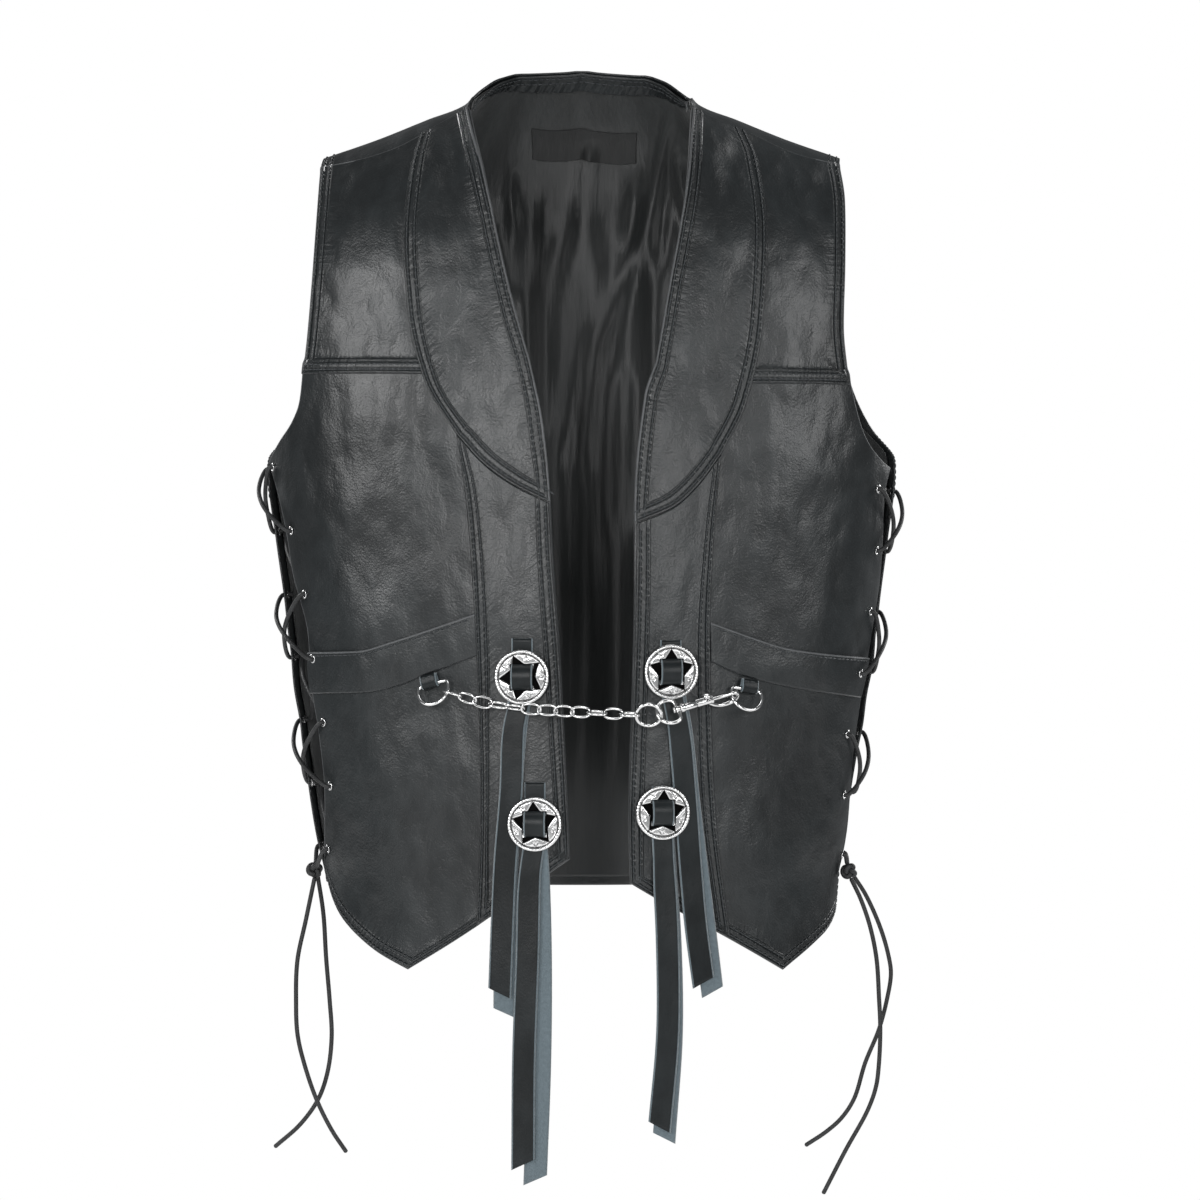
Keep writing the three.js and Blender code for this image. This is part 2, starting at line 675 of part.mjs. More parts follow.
function backPatch() {
  const [right, left] = [FRONTS[1], FRONTS[0]];
  const armholePoints = BACK_ARMHOLE.map((row) => {
    const share = (row.x / SHOULDER_HALF_WIDTH) ** (SECTION_POWER / 2);
    return [Math.asin(share) / (Math.PI / 2), row.s];
  });
  const armhole = (sign, front) => {
    const tip = locate(front.shoulder[4][0], front.shoulder[4][1] + SEAM_HALF_GAP);
    const points = [...armholePoints, [Math.abs(tip[0]), tip[1]]];
    return (t) => {
      const place = t * (points.length - 1);
      const steps = points.map((_, i) => i);
      return [sign * smooth(steps, column(points, 0), place), smooth(steps, column(points, 1), place)];
    };
  };
  const flank = (sign) => (t) => {
    const low = locate(sign * formAt("width", -540), -540, -1);
    return [sign * (0.9999), low[1] + (BACK_ARMHOLE[0].s - low[1]) * t];
  };
  const rightEdge = joined(flank(1), armhole(1, right), UNDERARM_SHARE);
  const leftEdge = joined(flank(-1), armhole(-1, left), UNDERARM_SHARE);
  const hem = (t) => {
    const a = 0.9999 * (1 - 2 * t);
    const z = smooth(column(BACK_HEM, 0), column(BACK_HEM, 1), a);
    return [a, locate(formAt("width", z) * across(a), z, -1)[1]];
  };
  const seam = (front) => edge(front.shoulder, SEAM_HALF_GAP);
  const neck = signedEdge(BACK_NECK);
  const fromRight = SEAM_COLUMNS + NECK_COLUMNS;
  const upToLeft = joined(backwards(seam(right)), neck, SEAM_COLUMNS / fromRight);
  const top = joined(upToLeft, seam(left), fromRight / BACK_COLUMNS);
  return patch(rightEdge, leftEdge, hem, top);
}

// The back's neck edge crosses the shoulder ridge, so its two ends lie in front of it.
function signedEdge(points) {
  const both = points.map(([x, z], i) => locate(x, z, i === 0 || i === points.length - 1 ? 1 : -1));
  return (t) => {
    const steps = points.map((_, i) => i);
    const place = t * (points.length - 1);
    return [smooth(steps, column(both, 0), place), smooth(steps, column(both, 1), place)];
  };
}

function liningFold(x, z) {
  const start = THREE.MathUtils.smoothstep(-z, -FOLDS_START, 70);
  const end = 1 - THREE.MathUtils.smoothstep(-z, 430, 525);
  const down = Math.min(1, Math.max(0, (-z + FOLDS_START) / 480));
  const depth = LINING_FOLDS.reduce((sum, fold) => {
    const line = fold.xTop + (fold.xLow - fold.xTop) * down;
    return sum + fold.depth * Math.exp(-(((x - line) / fold.width) ** 2));
  }, 0);
  return -start * end * depth;
}

// Rows crowd together above the underarm, where the back rolls over the shoulders.
function backRow(row) {
  const low = BACK_LOW_ROWS;
  if (row <= low) return (UNDERARM_SHARE * row) / low;
  return UNDERARM_SHARE + ((1 - UNDERARM_SHARE) * (row - low)) / (BACK_ROWS - low);
}

// The part of the back's grid between two columns and two rows, so layers share its points.
function backCells(place, fromColumn, toColumn, rows) {
  const steps = rows.map((_, i) => i / (rows.length - 1));
  return (u, v) => {
    const i = Math.min(rows.length - 2, Math.floor(v * (rows.length - 1) + 1e-6));
    const row = rows[i] + ((rows[i + 1] - rows[i]) * (v - steps[i])) / (steps[i + 1] - steps[i]);
    return place((fromColumn + (toColumn - fromColumn) * u) / BACK_COLUMNS, backRow(row));
  };
}

function buildBack() {
  const place = backPatch();
  const holes = FRONTS.flatMap((front) => eyelets(front).map((row) => drillAt(row.back)));
  const allRows = Array.from({ length: BACK_ROWS + 1 }, (_, row) => row);
  const whole = backCells(place, 0, BACK_COLUMNS, allRows);
  addPiece("back_panel", cut(sheet(BACK_COLUMNS, BACK_ROWS, whole, 0, LEATHER), holes), leatherMaterial);

  const lastColumn = BACK_COLUMNS - 1;
  const lastRow = BACK_ROWS - 1;
  const liningRows = [0.4, ...allRows.slice(1, -1), lastRow + 0.9];
  const inner = backCells(place, 1, lastColumn, liningRows);
  const satinOut = -LAYER_GAP;
  const lining = sheet(lastColumn - 1, liningRows.length - 1, inner, satinOut - SATIN, satinOut, liningFold);
  addPiece("back_lining", lining, satinMaterial);

  const under = -2 * LAYER_GAP - SATIN - 0.2;
  const neckEnd = SEAM_COLUMNS + NECK_COLUMNS;
  const band = backCells(place, SEAM_COLUMNS, neckEnd, [lastRow, BACK_ROWS]);
  addPiece("back_neck_facing", sheet(NECK_COLUMNS, 1, band, under - LEATHER, under), leatherMaterial);
  const patchCells = backCells(place, SEAM_COLUMNS + 3, neckEnd - 3, PATCH_ROWS);
  const patchSheet = sheet(NECK_COLUMNS - 6, 1, patchCells, under - SATIN, under, liningFold);
  addPiece("lining_neck_patch", patchSheet, satinMaterial);
}

// Conchos and their thongs
function starShape(points, outer, inner) {
  const shape = new THREE.Shape();
  for (let i = 0; i < points * 2; i++) {
    const radius = i % 2 ? inner : outer;
    const angle = (i * Math.PI) / points + Math.PI / 2;
    const corner = [radius * Math.cos(angle), radius * Math.sin(angle)];
    if (i) shape.lineTo(...corner);
    else shape.moveTo(...corner);
  }
  shape.closePath();
  return shape;
}

function conchoGeometry(turn) {
  const r = CONCHO_RADIUS;
  const profile = [[0, 0.4], [r - 1.6, 0], [r, 0.8], [r - 0.6, 2], [r - 2, 2.1], [r - 3, 1.7], [0, 2.4]];
  const disc = new THREE.LatheGeometry(profile.map(([x, y]) => new THREE.Vector2(x, y)), 20);
  disc.rotateX(Math.PI / 2);
  const star = new THREE.ExtrudeGeometry(starShape(5, r - 3.4, 6.9), { depth: 3, bevelEnabled: false });
  star.translate(0, 0, 1.4);
  star.rotateZ(THREE.MathUtils.degToRad(turn));
  const slots = [1, -1].map((side) => {
    const slot = new THREE.BoxGeometry(THONG_WIDTH + 1, 4.6, 8);
    slot.translate(0, side * SLOT_OFFSET, 0);
    return slot;
  });
  return cut(disc, [star, ...slots]);
}

// A step of a strip that lies on the front seen at x, z; below the hem it hangs straight down.
function layAt(x, z, out) {
  const lowest = -535;
  const held = Math.max(z, lowest);
  const [a, s] = locate(x, held);
  const point = onForm(a, s, out + hangingWave(x, held));
  const side = new THREE.Vector3().setFromMatrixColumn(frameAt(x, held, out), 0);
  return { point: point.setX(point.x).setZ(z > lowest ? point.z : z), side };
}

function buildConcho(concho) {
  const surface = LAP + LEATHER;
  const frame = frameAt(concho.x, concho.z, surface + CONCHO_STANDOFF + hangingWave(concho.x, concho.z));
  addPiece(`concho_${concho.name}`, conchoGeometry(concho.turn), chromeMaterial, frame);

  const right = new THREE.Vector3().setFromMatrixColumn(frame, 0);
  const local = ([y, z]) => ({ point: new THREE.Vector3(0, y, z).applyMatrix4(frame), side: right });
  const tails = TAILS[concho.name];
  const above = [concho.loop, concho.loop - 5, 14].map((y) => layAt(concho.x, concho.z + y, surface + 0.95));
  const threaded = [[10.6, -1.3], [8.4, 0.9], [6.9, 3.1], [3.5, 3.8], [-3.5, 3.8], [-6.9, 3.1], [-8.4, 0.9],
    [-10.6, -1.1]].map(local);
  const hanging = tails.front.map(([x, z]) => layAt(x, z, surface + CONCHO_STANDOFF - 0.9));
  const front = strip([...above, ...threaded, ...hanging], THONG_WIDTH, THONG_THICKNESS, tails.slant);
  addPiece(`thong_${concho.name}`, front, leatherMaterial);
  const rearOut = surface + CONCHO_STANDOFF - 2.9;
  const rear = [[concho.x, concho.z - 5], ...tails.rear].map(([x, z]) => layAt(x, z, rearOut));
  const under = strip(rear, THONG_WIDTH, THONG_THICKNESS, tails.slant);
  addPiece(`thong_${concho.name}_under_layer`, under, leatherMaterial);
}

// Ring tabs, rings, chain and snap hook
function buildTab(side) {
  const tab = TABS[side];
  const barOut = LEATHER + GAP + TAB_THICKNESS + GAP + RING_WIRE + 0.6;
  const frame = frameAt(tab.x, tab.z, barOut, tab.turn);
  const wrap = RING_WIRE + GAP + TAB_THICKNESS / 2 + 0.15;
  const corner = wrap * Math.SQRT1_2;
  const route = [[7, 0.3], [4.2, 1.6], [0, wrap], [-corner, corner], [-wrap, 0], [-corner, -corner],
    [0, -wrap], [4, -2.2], [7, -1.9]];
  const level = new THREE.Vector3(1, 0, 0);
  const points = route.map(([y, z]) => ({ point: new THREE.Vector3(0, y, z), side: level }));
  addPiece(`${side}_ring_tab`, strip(points, TAB_WIDTH, TAB_THICKNESS), leatherMaterial, frame);

  const ringFrame = frame.clone();
  ringFrame.multiply(new THREE.Matrix4().makeTranslation(tab.slide, 0, 0));
  ringFrame.multiply(new THREE.Matrix4().makeRotationX(THREE.MathUtils.degToRad(RING_TILT)));
  ringFrame.multiply(new THREE.Matrix4().makeTranslation(0, -RING_FLAT, 0));
  const ring = wireLoop(dOutline(RING_RADIUS, RING_FLAT), RING_WIRE, 18, 6);
  addPiece(`${side}_d_ring`, ring, chromeMaterial, ringFrame);
  return (degrees) => {
    const angle = THREE.MathUtils.degToRad(degrees);
    const point = new THREE.Vector3(RING_RADIUS * Math.cos(angle), RING_RADIUS * Math.sin(angle), 0);
    return point.applyMatrix4(ringFrame);
  };
}

function rod(radius, from, to, sides = 12) {
  const cylinder = new THREE.CylinderGeometry(radius, radius, to - from, sides);
  cylinder.rotateZ(-Math.PI / 2);
  cylinder.translate((from + to) / 2, 0, 0);
  return cylinder;
}

// The snap hook lies along its own X axis from the swivel, with its bow towards its own Y.
function hookGeometry() {
  const bow = [[20, 1.4], [22.5, 3], [26, 5.8], [31, 8], [36, 8.5], [40.5, 7.6], [43.4, 5.2], [44, 2.4],
    [42.6, 0.5], [40.8, 0], [39.4, 0]].map(([x, y]) => new THREE.Vector3(x, y, 0));
  const body = join([
    rod(2.2, -5.5, -3.9),
    rod(1.2, -4.6, 1),
    rod(3, -0.1, 3.4),
    rod(2.6, 3, 24),
    smoothTube(bow, BOLT_RADIUS, 16, 8),
  ]);
  const bore = rod(BOLT_RADIUS + GAP, 4.2, 26);
  const slot = new THREE.BoxGeometry(10, 6, 2.8);
  slot.translate(17.4, -3, 0);
  return cut(body, [bore, slot]);
}

function boltGeometry() {
  const stem = new THREE.CylinderGeometry(1, 1, 5, 10);
  stem.translate(20.3, -2.7, 0);
  const knob = new THREE.CylinderGeometry(1.9, 2.1, 1.5, 12);
  knob.translate(20.3, -5.4, 0);
  return join([rod(BOLT_RADIUS, 10.5, 39), stem, knob]);
}

function swivelEyeGeometry(flat) {
  const eye = wireLoop(dOutline(9.4, flat), 1.2, 18, 6);
  eye.rotateZ(-Math.PI / 2);
  eye.translate(-2 - flat, 0, 0);
  return cut(join([eye, rod(2.6, -3.6, -0.4)]), [rod(1.5, -6, 2)]);
}

function buildClosure() {
  const leftRing = buildTab("left");
  const rightRing = buildTab("right");

  const rise = THREE.MathUtils.degToRad(HOOK_RISE);
  const along = new THREE.Vector3(Math.cos(rise), HOOK_REARWARD, Math.sin(rise)).normalize();
  const rear = new THREE.Vector3(0, 1, 0).addScaledVector(along, -along.y).normalize();
  const down = new THREE.Vector3().crossVectors(along, rear).multiplyScalar(-1);
  if (down.z > 0) down.negate();
  const roll = THREE.MathUtils.degToRad(HOOK_ROLL);
  const bowward = down.clone().multiplyScalar(Math.cos(roll)).addScaledVector(rear, Math.sin(roll));
  const held = rightRing(HOOK_CONTACT);
  const origin = held.clone().addScaledVector(along, -HOOK_REACH).addScaledVector(bowward, -3.7);
  const hookFrame = new THREE.Matrix4()
    .makeBasis(along, bowward, new THREE.Vector3().crossVectors(along, bowward))
    .setPosition(origin);
  addPiece("snap_hook", hookGeometry(), chromeMaterial, hookFrame);
  addPiece("snap_hook_bolt", boltGeometry(), chromeMaterial, hookFrame);

  const eyeFlat = 5.8;
  const tilt = THREE.MathUtils.degToRad(LINK_TILT);
  const eyeSide = down.clone().multiplyScalar(-Math.cos(tilt)).addScaledVector(rear, Math.sin(tilt));
  const eyeFrame = new THREE.Matrix4()
    .makeBasis(along, eyeSide, new THREE.Vector3().crossVectors(along, eyeSide))
    .setPosition(origin);
  addPiece("swivel_eye", swivelEyeGeometry(eyeFlat), chromeMaterial, eyeFrame);

  const eyeEnd = origin.clone().addScaledVector(along, -2 - eyeFlat - 9.4);
  const chainward = new THREE.Vector3(-1, 0, 0.02).normalize();
  const ringCentre = eyeEnd.clone().addScaledVector(chainward, O_RING_RADIUS - 1.2 - O_RING_WIRE - GAP);
  const upright = new THREE.Vector3(0, -Math.sin(tilt), Math.cos(tilt));
  const ringX = chainward.clone().negate();
  upright.addScaledVector(ringX, -upright.dot(ringX)).normalize();
  const oFrame = new THREE.Matrix4()
    .makeBasis(ringX, upright, new THREE.Vector3().crossVectors(ringX, upright))
    .setPosition(ringCentre);
  const circle = (angle) => [O_RING_RADIUS * Math.cos(angle), O_RING_RADIUS * Math.sin(angle)];
  addPiece("chain_o_ring", wireLoop(circle, O_RING_WIRE, 18, 6), chromeMaterial, oFrame);

  const chainEnd = ringCentre.clone().addScaledVector(ringX, -O_RING_RADIUS);
  buildChain(leftRing(-26), chainEnd);
}

function buildChain(from, to) {
  const through = [from, new THREE.Vector3(-68, -127, -407.4), new THREE.Vector3(-41, -130.4, -411.4),
    new THREE.Vector3(-8, -130.4, -413.6), to];
  const route = new THREE.CatmullRomCurve3(through, false, "centripetal");
  route.arcLengthDivisions = 400;
  const length = route.getLength();
  const endsTaken = RING_WIRE + O_RING_WIRE + 2 * LINK_GAP;
  const inner = (length + endsTaken + (LINK_COUNT - 1) * LINK_GAP) / LINK_COUNT;
  const halfLength = inner / 2 + LINK_WIRE;
  const outline = (angle) => [
    halfLength * Math.sign(Math.cos(angle)) * Math.abs(Math.cos(angle)) ** 0.85,
    LINK_HALF_WIDTH * Math.sign(Math.sin(angle)) * Math.abs(Math.sin(angle)) ** 0.85,
  ];
  for (let i = 0; i < LINK_COUNT; i++) {
    const share = (inner / 2 - RING_WIRE - LINK_GAP + i * (inner - LINK_GAP)) / length;
    const along = route.getTangentAt(share);
    const side = new THREE.Vector3(0, 0, 1).addScaledVector(along, -along.z).normalize();
    const frame = new THREE.Matrix4()
      .makeBasis(along, side, new THREE.Vector3().crossVectors(along, side))
      .setPosition(route.getPointAt(share));
    frame.multiply(new THREE.Matrix4().makeRotationX(THREE.MathUtils.degToRad(LINK_TURNS[i])));
    const name = `chain_link_${String(i + 1).padStart(2, "0")}`;
    addPiece(name, wireLoop(outline, LINK_WIRE, 12, 5), chromeMaterial, frame);
  }
}

// Side laces
const OVER_LIFT = 9.4;
const UNDER_LIFT = 5.2;

function laceRoute(front) {
  const rows = eyelets(front);
  const knot = knotPlace(front);
  const holeAt = (row, first) => ((row % 2 === 0) === (first === "front") ? rows[row].front : rows[row].back);
  const passing = (row, first, outwards) => {
    const { turn, z } = holeAt(row, first);
    const overWelt = row === WELT_ROW && turn * front.sign < 1 ? WELT_DEPTH + LAYER_GAP : 0;
    const points = [-LACE_LIFT, LEATHER / 2, LACE_LIFT + 0.4 + overWelt].map((out) => girth(turn, z, out));
    return outwards ? points : points.reverse();
  };
  const crossing = (row, first, over) => {
    const from = holeAt(row, first);
    const to = holeAt(row + 1, first);
    const outside = row % 2 === 0 ? 1 : -1;
    const out = over ? OVER_LIFT : UNDER_LIFT;
    return [0.33, 0.67].map((share) => {
      const turn = from.turn + (to.turn - from.turn) * share;
      return girth(turn, from.z + (to.z - from.z) * share, outside * out);
    });
  };
  const strand = (first, over) => {
    const points = [];
    for (let row = 0; row < EYELET_ROWS; row++) {
      points.push(...passing(row, first, row % 2 === 0));
      if (row < EYELET_ROWS - 1) points.push(...crossing(row, first, over));
    }
    const last = points[points.length - 1];
    const toKnot = new THREE.Vector3().subVectors(last, knot).normalize();
    points.push(knot.clone().addScaledVector(toKnot, KNOT_RADIUS + 2 * GAP));
    return points;
  };
  const one = strand("front", false);
  const other = strand("back", true);
  const bar = [0.33, 0.67].map((share) => {
    const turn = rows[0].front.turn + (rows[0].back.turn - rows[0].front.turn) * share;
    return girth(turn, rows[0].front.z, -LACE_LIFT - 2);
  });
  return [...one.reverse(), ...bar, ...other];
}

function knotPlace(front) {
  const { turn, z } = KNOTS[front.side];
  return girth(turn, z, KNOT_LIFT);
}

function buildLaces(front) {
  addPiece(`${front.side}_side_lace`, tube(laceRoute(front), LACE_WIDTH / 2, 6), laceMaterial);
  const knot = new THREE.SphereGeometry(KNOT_RADIUS, 10, 7);
  const place = knotPlace(front);
  addPiece(`${front.side}_lace_knot`, knot, laceMaterial, new THREE.Matrix4().setPosition(place));
  for (const end of ["a", "b"]) {
    const route = LACE_TAILS[`${front.side}_${end}`].map((point) => new THREE.Vector3(...point));
    const off = new THREE.Vector3().subVectors(route[0], place).normalize();
    route[0] = place.clone().addScaledVector(off, KNOT_RADIUS + 2 * GAP);
    addPiece(`${front.side}_lace_tail_${end}`, smoothTube(route, LACE_WIDTH / 2, 15), laceMaterial);
  }
}

FRONTS.forEach(buildFront);
buildBack();
CONCHOS.forEach(buildConcho);
buildClosure();
FRONTS.forEach(buildLaces);

export default vest;
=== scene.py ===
"""The looks of a black leather side-laced vest, worn open and filled out.

The form is worked out in millimetres, in the part's own frame: +X to the right seen from the
front, +Y to the back, +Z up, with the origin between the shoulders. Meshes are in metres.
"""

import bpy
import numpy as np
from bpy.props import FloatProperty, FloatVectorProperty, PointerProperty
from mathutils import Matrix, Vector


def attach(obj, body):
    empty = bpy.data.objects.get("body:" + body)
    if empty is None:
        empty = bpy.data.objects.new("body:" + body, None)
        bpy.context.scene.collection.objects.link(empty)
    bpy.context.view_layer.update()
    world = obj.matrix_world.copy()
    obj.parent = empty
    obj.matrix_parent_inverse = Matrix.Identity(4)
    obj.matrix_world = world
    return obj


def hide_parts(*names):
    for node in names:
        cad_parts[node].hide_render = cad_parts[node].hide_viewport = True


bl_info = {
    "name": "Leather vest",
    "version": (1, 0, 0),
    "blender": (4, 5, 0),
    "location": "View3D > Sidebar > Vest",
    "description": "Builds a black leather side-laced vest with its chain, conchos and thongs",
    "category": "Add Mesh",
}

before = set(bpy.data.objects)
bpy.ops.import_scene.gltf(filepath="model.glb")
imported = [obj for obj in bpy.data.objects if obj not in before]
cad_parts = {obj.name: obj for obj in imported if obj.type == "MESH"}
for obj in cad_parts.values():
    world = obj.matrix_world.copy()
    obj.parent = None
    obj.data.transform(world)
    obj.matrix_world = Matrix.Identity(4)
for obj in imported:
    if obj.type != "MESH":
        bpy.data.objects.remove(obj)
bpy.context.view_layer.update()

MM = 0.001
LEATHER = 1.6
SATIN = 1.0
LAYER_GAP = 0.6
LAP = LEATHER + LAYER_GAP
GAP = 0.3
ROLL = 110
SECTION_POWER = 2.2
HALF_WIDTH = 227
BACK_EASE = 150

# The body form: half width, front depth and back depth at each height.
FORM = {
    "z": [30, -60, -150, -241, -292, -336, -380, -423, -467, -511, -540, -610],
    "width": [227, 227, 227, 227, 221, 215, 210, 203.5, 196.5, 190.5, 185, 181],
    "front": [92, 104, 115, 120, 120, 120, 118, 116, 115, 113, 112, 109],
    "back": [84, 96, 102, 103, 101, 98, 95, 93, 93, 94, 95, 96],
}
RIDGE = {
    "x": [0, 20, 45, 58, 73, 84, 112, 148, 193, 229],
    "z": [82, 80, 72, 58, 38, 24, 12.8, -1.6, -17, -30],
}
BACK_RIDGE = {"x": [0, 45, 84, 112, 148, 193, 229], "z": [82, 70, 46, 27, 7, -14, -30]}

# Cut edges of the two fronts, as x, z on the form. Each runs upwards or towards the wearer's arm.
FRONTS = {
    "left": {
        "sign": -1,
        "neck": [(-36, -168), (-48, -125), (-59.5, -75), (-69, -28), (-75, -4.5), (-80.5, 18.5)],
        "opening": [
            (-8.5, -517.5), (-9.5, -491), (-15, -378), (-20, -308), (-22.5, -258),
            (-27.5, -209.5), (-36, -168),
        ],
        "shoulder": [(-80.5, 18.5), (-101.5, 5.5), (-133, -12), (-158.5, -19.5), (-188.5, -24)],
        "armhole": [(-198, -166), (-194.5, -136), (-191, -92), (-189, -48.5), (-188.5, -24)],
        "underarm": [(-226, -234), (-216.5, -220.5), (-206.5, -207), (-201, -193), (-198, -166)],
        "flank": [
            (-185, -531.5), (-183.5, -475), (-187.5, -431), (-193, -395), (-195, -360),
            (-207, -313.5), (-214.5, -269), (-226, -234),
        ],
        "yoke": [(-36, -172), (-198, -168)],
        "hem_inner": [(-8.5, -517.5), (-22, -527), (-73, -565), (-121.5, -597)],
        "hem_outer": [
            (-121.5, -597), (-150, -582.5), (-170, -565.5), (-179.5, -549), (-185, -531.5),
        ],
        "lapel_low": [(-23, -266.5), (-48, -254), (-68, -239.5), (-87, -218.5)],
        "lapel_high": [
            (-87, -218.5), (-110, -179), (-121.5, -130.5), (-125, -78.5), (-121, -27.5),
            (-115.5, -3),
        ],
        "placket": [
            (-73, -565), (-70, -476.5), (-71.5, -406), (-75.5, -322), (-80, -265.5),
            (-87, -218.5),
        ],
        "welt_top": [
            (-74.5, -346), (-109.5, -358), (-132.5, -365.5), (-156, -372), (-193.5, -373.5),
        ],
        "welt_bottom": [(-73, -374), (-110, -388), (-127, -394.5), (-149, -400), (-191.5, -402)],
        "hem_point": 0.6,
        "lapel_foot": 0.716,
        "lapel_shoulder": 0.345,
        "eyelet_top": -240,
        "eyelet_pitch": 45.8,
    },
    "right": {
        "sign": 1,
        "neck": [(52.5, -168), (63, -107), (70, -68), (75, -27.5), (76.5, -4.5), (78.5, 18)],
        "opening": [
            (34.5, -534.5), (33.5, -491), (36.5, -378), (37.5, -322), (37.5, -269.5),
            (44.5, -192), (52.5, -168),
        ],
        "shoulder": [(78.5, 18), (94, 10), (117, 1), (157.5, -16.5), (186, -21.5)],
        "armhole": [(190, -176), (186, -136.5), (187.5, -92), (188.5, -48.5), (186, -21.5)],
        "underarm": [(220, -240), (213.5, -235.5), (202, -221.5), (196.5, -207.5), (190, -176)],
        "flank": [
            (186.5, -538), (190, -510), (191, -458.5), (197.5, -405), (204.5, -368),
            (213.5, -318), (215.5, -259.5), (220, -240),
        ],
        "yoke": [(52.5, -177.5), (190, -176)],
        "hem_inner": [(34.5, -534.5), (48.5, -543), (103.5, -574.5), (142.5, -598.5)],
        "hem_outer": [(142.5, -598.5), (165, -582.5), (179.5, -568), (185.5, -554), (186.5, -538)],
        "lapel_low": [(39, -281), (64.5, -270), (81, -255), (97.5, -233)],
        "lapel_high": [
            (97.5, -233), (115, -197), (126.5, -141), (130, -78), (124.5, -23.5), (116.5, 0),
        ],
        "placket": [
            (103.5, -573), (94, -491.5), (91, -435), (89.5, -352), (92, -293.5), (97.5, -233),
        ],
        "welt_top": [
            (90.5, -352), (122.5, -363.5), (145.5, -370.5), (177, -375), (203.5, -377.5),
        ],
        "welt_bottom": [(91, -378.5), (109, -386.5), (133, -393.5), (155, -398), (197.5, -405)],
        "hem_point": 0.7,
        "lapel_foot": 0.69,
        "lapel_shoulder": 0.365,
        "eyelet_top": -256,
        "eyelet_pitch": 44,
    },
}
BACK_NECK = [
    (79, 19), (76, 32.5), (64, 43.5), (40, 52.5), (0, 57), (-42, 53.5), (-66, 44), (-77.5, 33),
    (-81, 19.5),
]
BACK_ARMHOLE = [(226.9, -266), (214, -250), (200, -225), (191, -190), (188, -100), (187.4, 0)]
BACK_HEM = {"a": [1, 0.5, 0, -0.5, -1], "z": [-540, -546, -550, -547, -541]}
UNDERARM_SHARE = 0.52
SEAM_SHARE = 1 / 3
FLANK_SHARE = 14 / 18
LAPEL_LOW_SHARE = 0.3
LAPEL_FOOT_SHARE = 0.36
SEAM_EASE = 0.2
YOKE_LAP = 6
PLACKET_EASE = 1.5
ARMHOLE_FOOT = -262
HEM_FALL = -535
STITCH_LIFT = 0.15

# Folds of the satin lining: x at the neck, x at the hem, half width and depth.
LINING_FOLDS = [
    (8, -2, 13, 7), (60, 42, 13, 8), (-42, -34, 14, 6), (-92, -76, 15, 6), (106, 94, 15, 6),
]

# Short folds of the lining: x and z at the top and at the foot, half width and rise. A fold
# that stands towards the opening has a rise below 0.
LINING_CREASES = [
    (69, 34, 51, -48, 5, -5), (51, -40, 10, -150, 7, -6), (14, -120, -8, -260, 9, -5),
    (7, 12, 0, -50, 5, -3.5), (0, -40, -14, -110, 6, -5), (-13, -95, -24, -230, 8, -5),
    (-57, -20, -48, -64, 4, 5), (-26, -30, -29, -66, 4, 5), (-9, -44, -20, -82, 4, 5),
    (14, -46, 20, -88, 4, 5), (40, -18, 37, -78, 5, 6), (62, -30, 57, -92, 5, 5),
    (72, 10, 82, -60, 5, -4), (-66, -44, -52, -120, 6, -4),
    (-44, -90, -40, -220, 7, -4), (34, -150, 28, -300, 8, -5),
]

# Conchos: centre as x, z, turn in degrees and how far above it the thong shows.
CONCHOS = {
    "upper_left": (-41, -389.4, 22, 27),
    "lower_left": (-32.2, -492.5, 4, 29),
    "upper_right": (62.1, -385.6, 0, 22),
    "lower_right": (56.2, -484.5, -3, 18),
}
TAILS = {
    "upper_left": {
        "front": [(-46.5, -425), (-48.5, -470), (-52.5, -520), (-54.5, -565), (-56.2, -612)],
        "rear": [(-45.5, -425), (-48.8, -470), (-51.5, -520), (-52.6, -565), (-53, -626)],
        "slant": -7,
    },
    "lower_left": {
        "front": [(-35.6, -530), (-37.2, -587.6), (-39.6, -657), (-40.2, -732)],
        "rear": [(-30, -530), (-28.5, -587.6), (-29, -660), (-32, -743)],
        "slant": 8,
    },
    "upper_right": {
        "front": [(67.5, -426), (72, -476), (75.5, -525), (79, -565), (84.2, -605)],
        "rear": [(69, -426), (74.5, -476), (80.4, -525), (85.4, -565), (91, -612)],
        "slant": 6,
    },
    "lower_right": {
        "front": [(57, -522), (59.4, -575), (59.6, -640), (54, -706)],
        "rear": [(58, -522), (61.5, -575), (62.5, -640), (57.5, -714)],
        "slant": -7,
    },
}
CONCHO_RADIUS = 19.2
CONCHO_STANDOFF = 3.8
# The thong's way over the concho's bridge, as place along it and height.
BRIDGE_ROUTE = [
    (10.2, -1.3), (7.9, 0.7), (6.6, 2.7), (3.6, 4.1), (0, 4.6), (-3.6, 4.1), (-6.6, 2.7),
    (-7.9, 0.7), (-10.2, -1.1),
]
THONG_WIDTH = 14.5
THONG_THICKNESS = 1.2

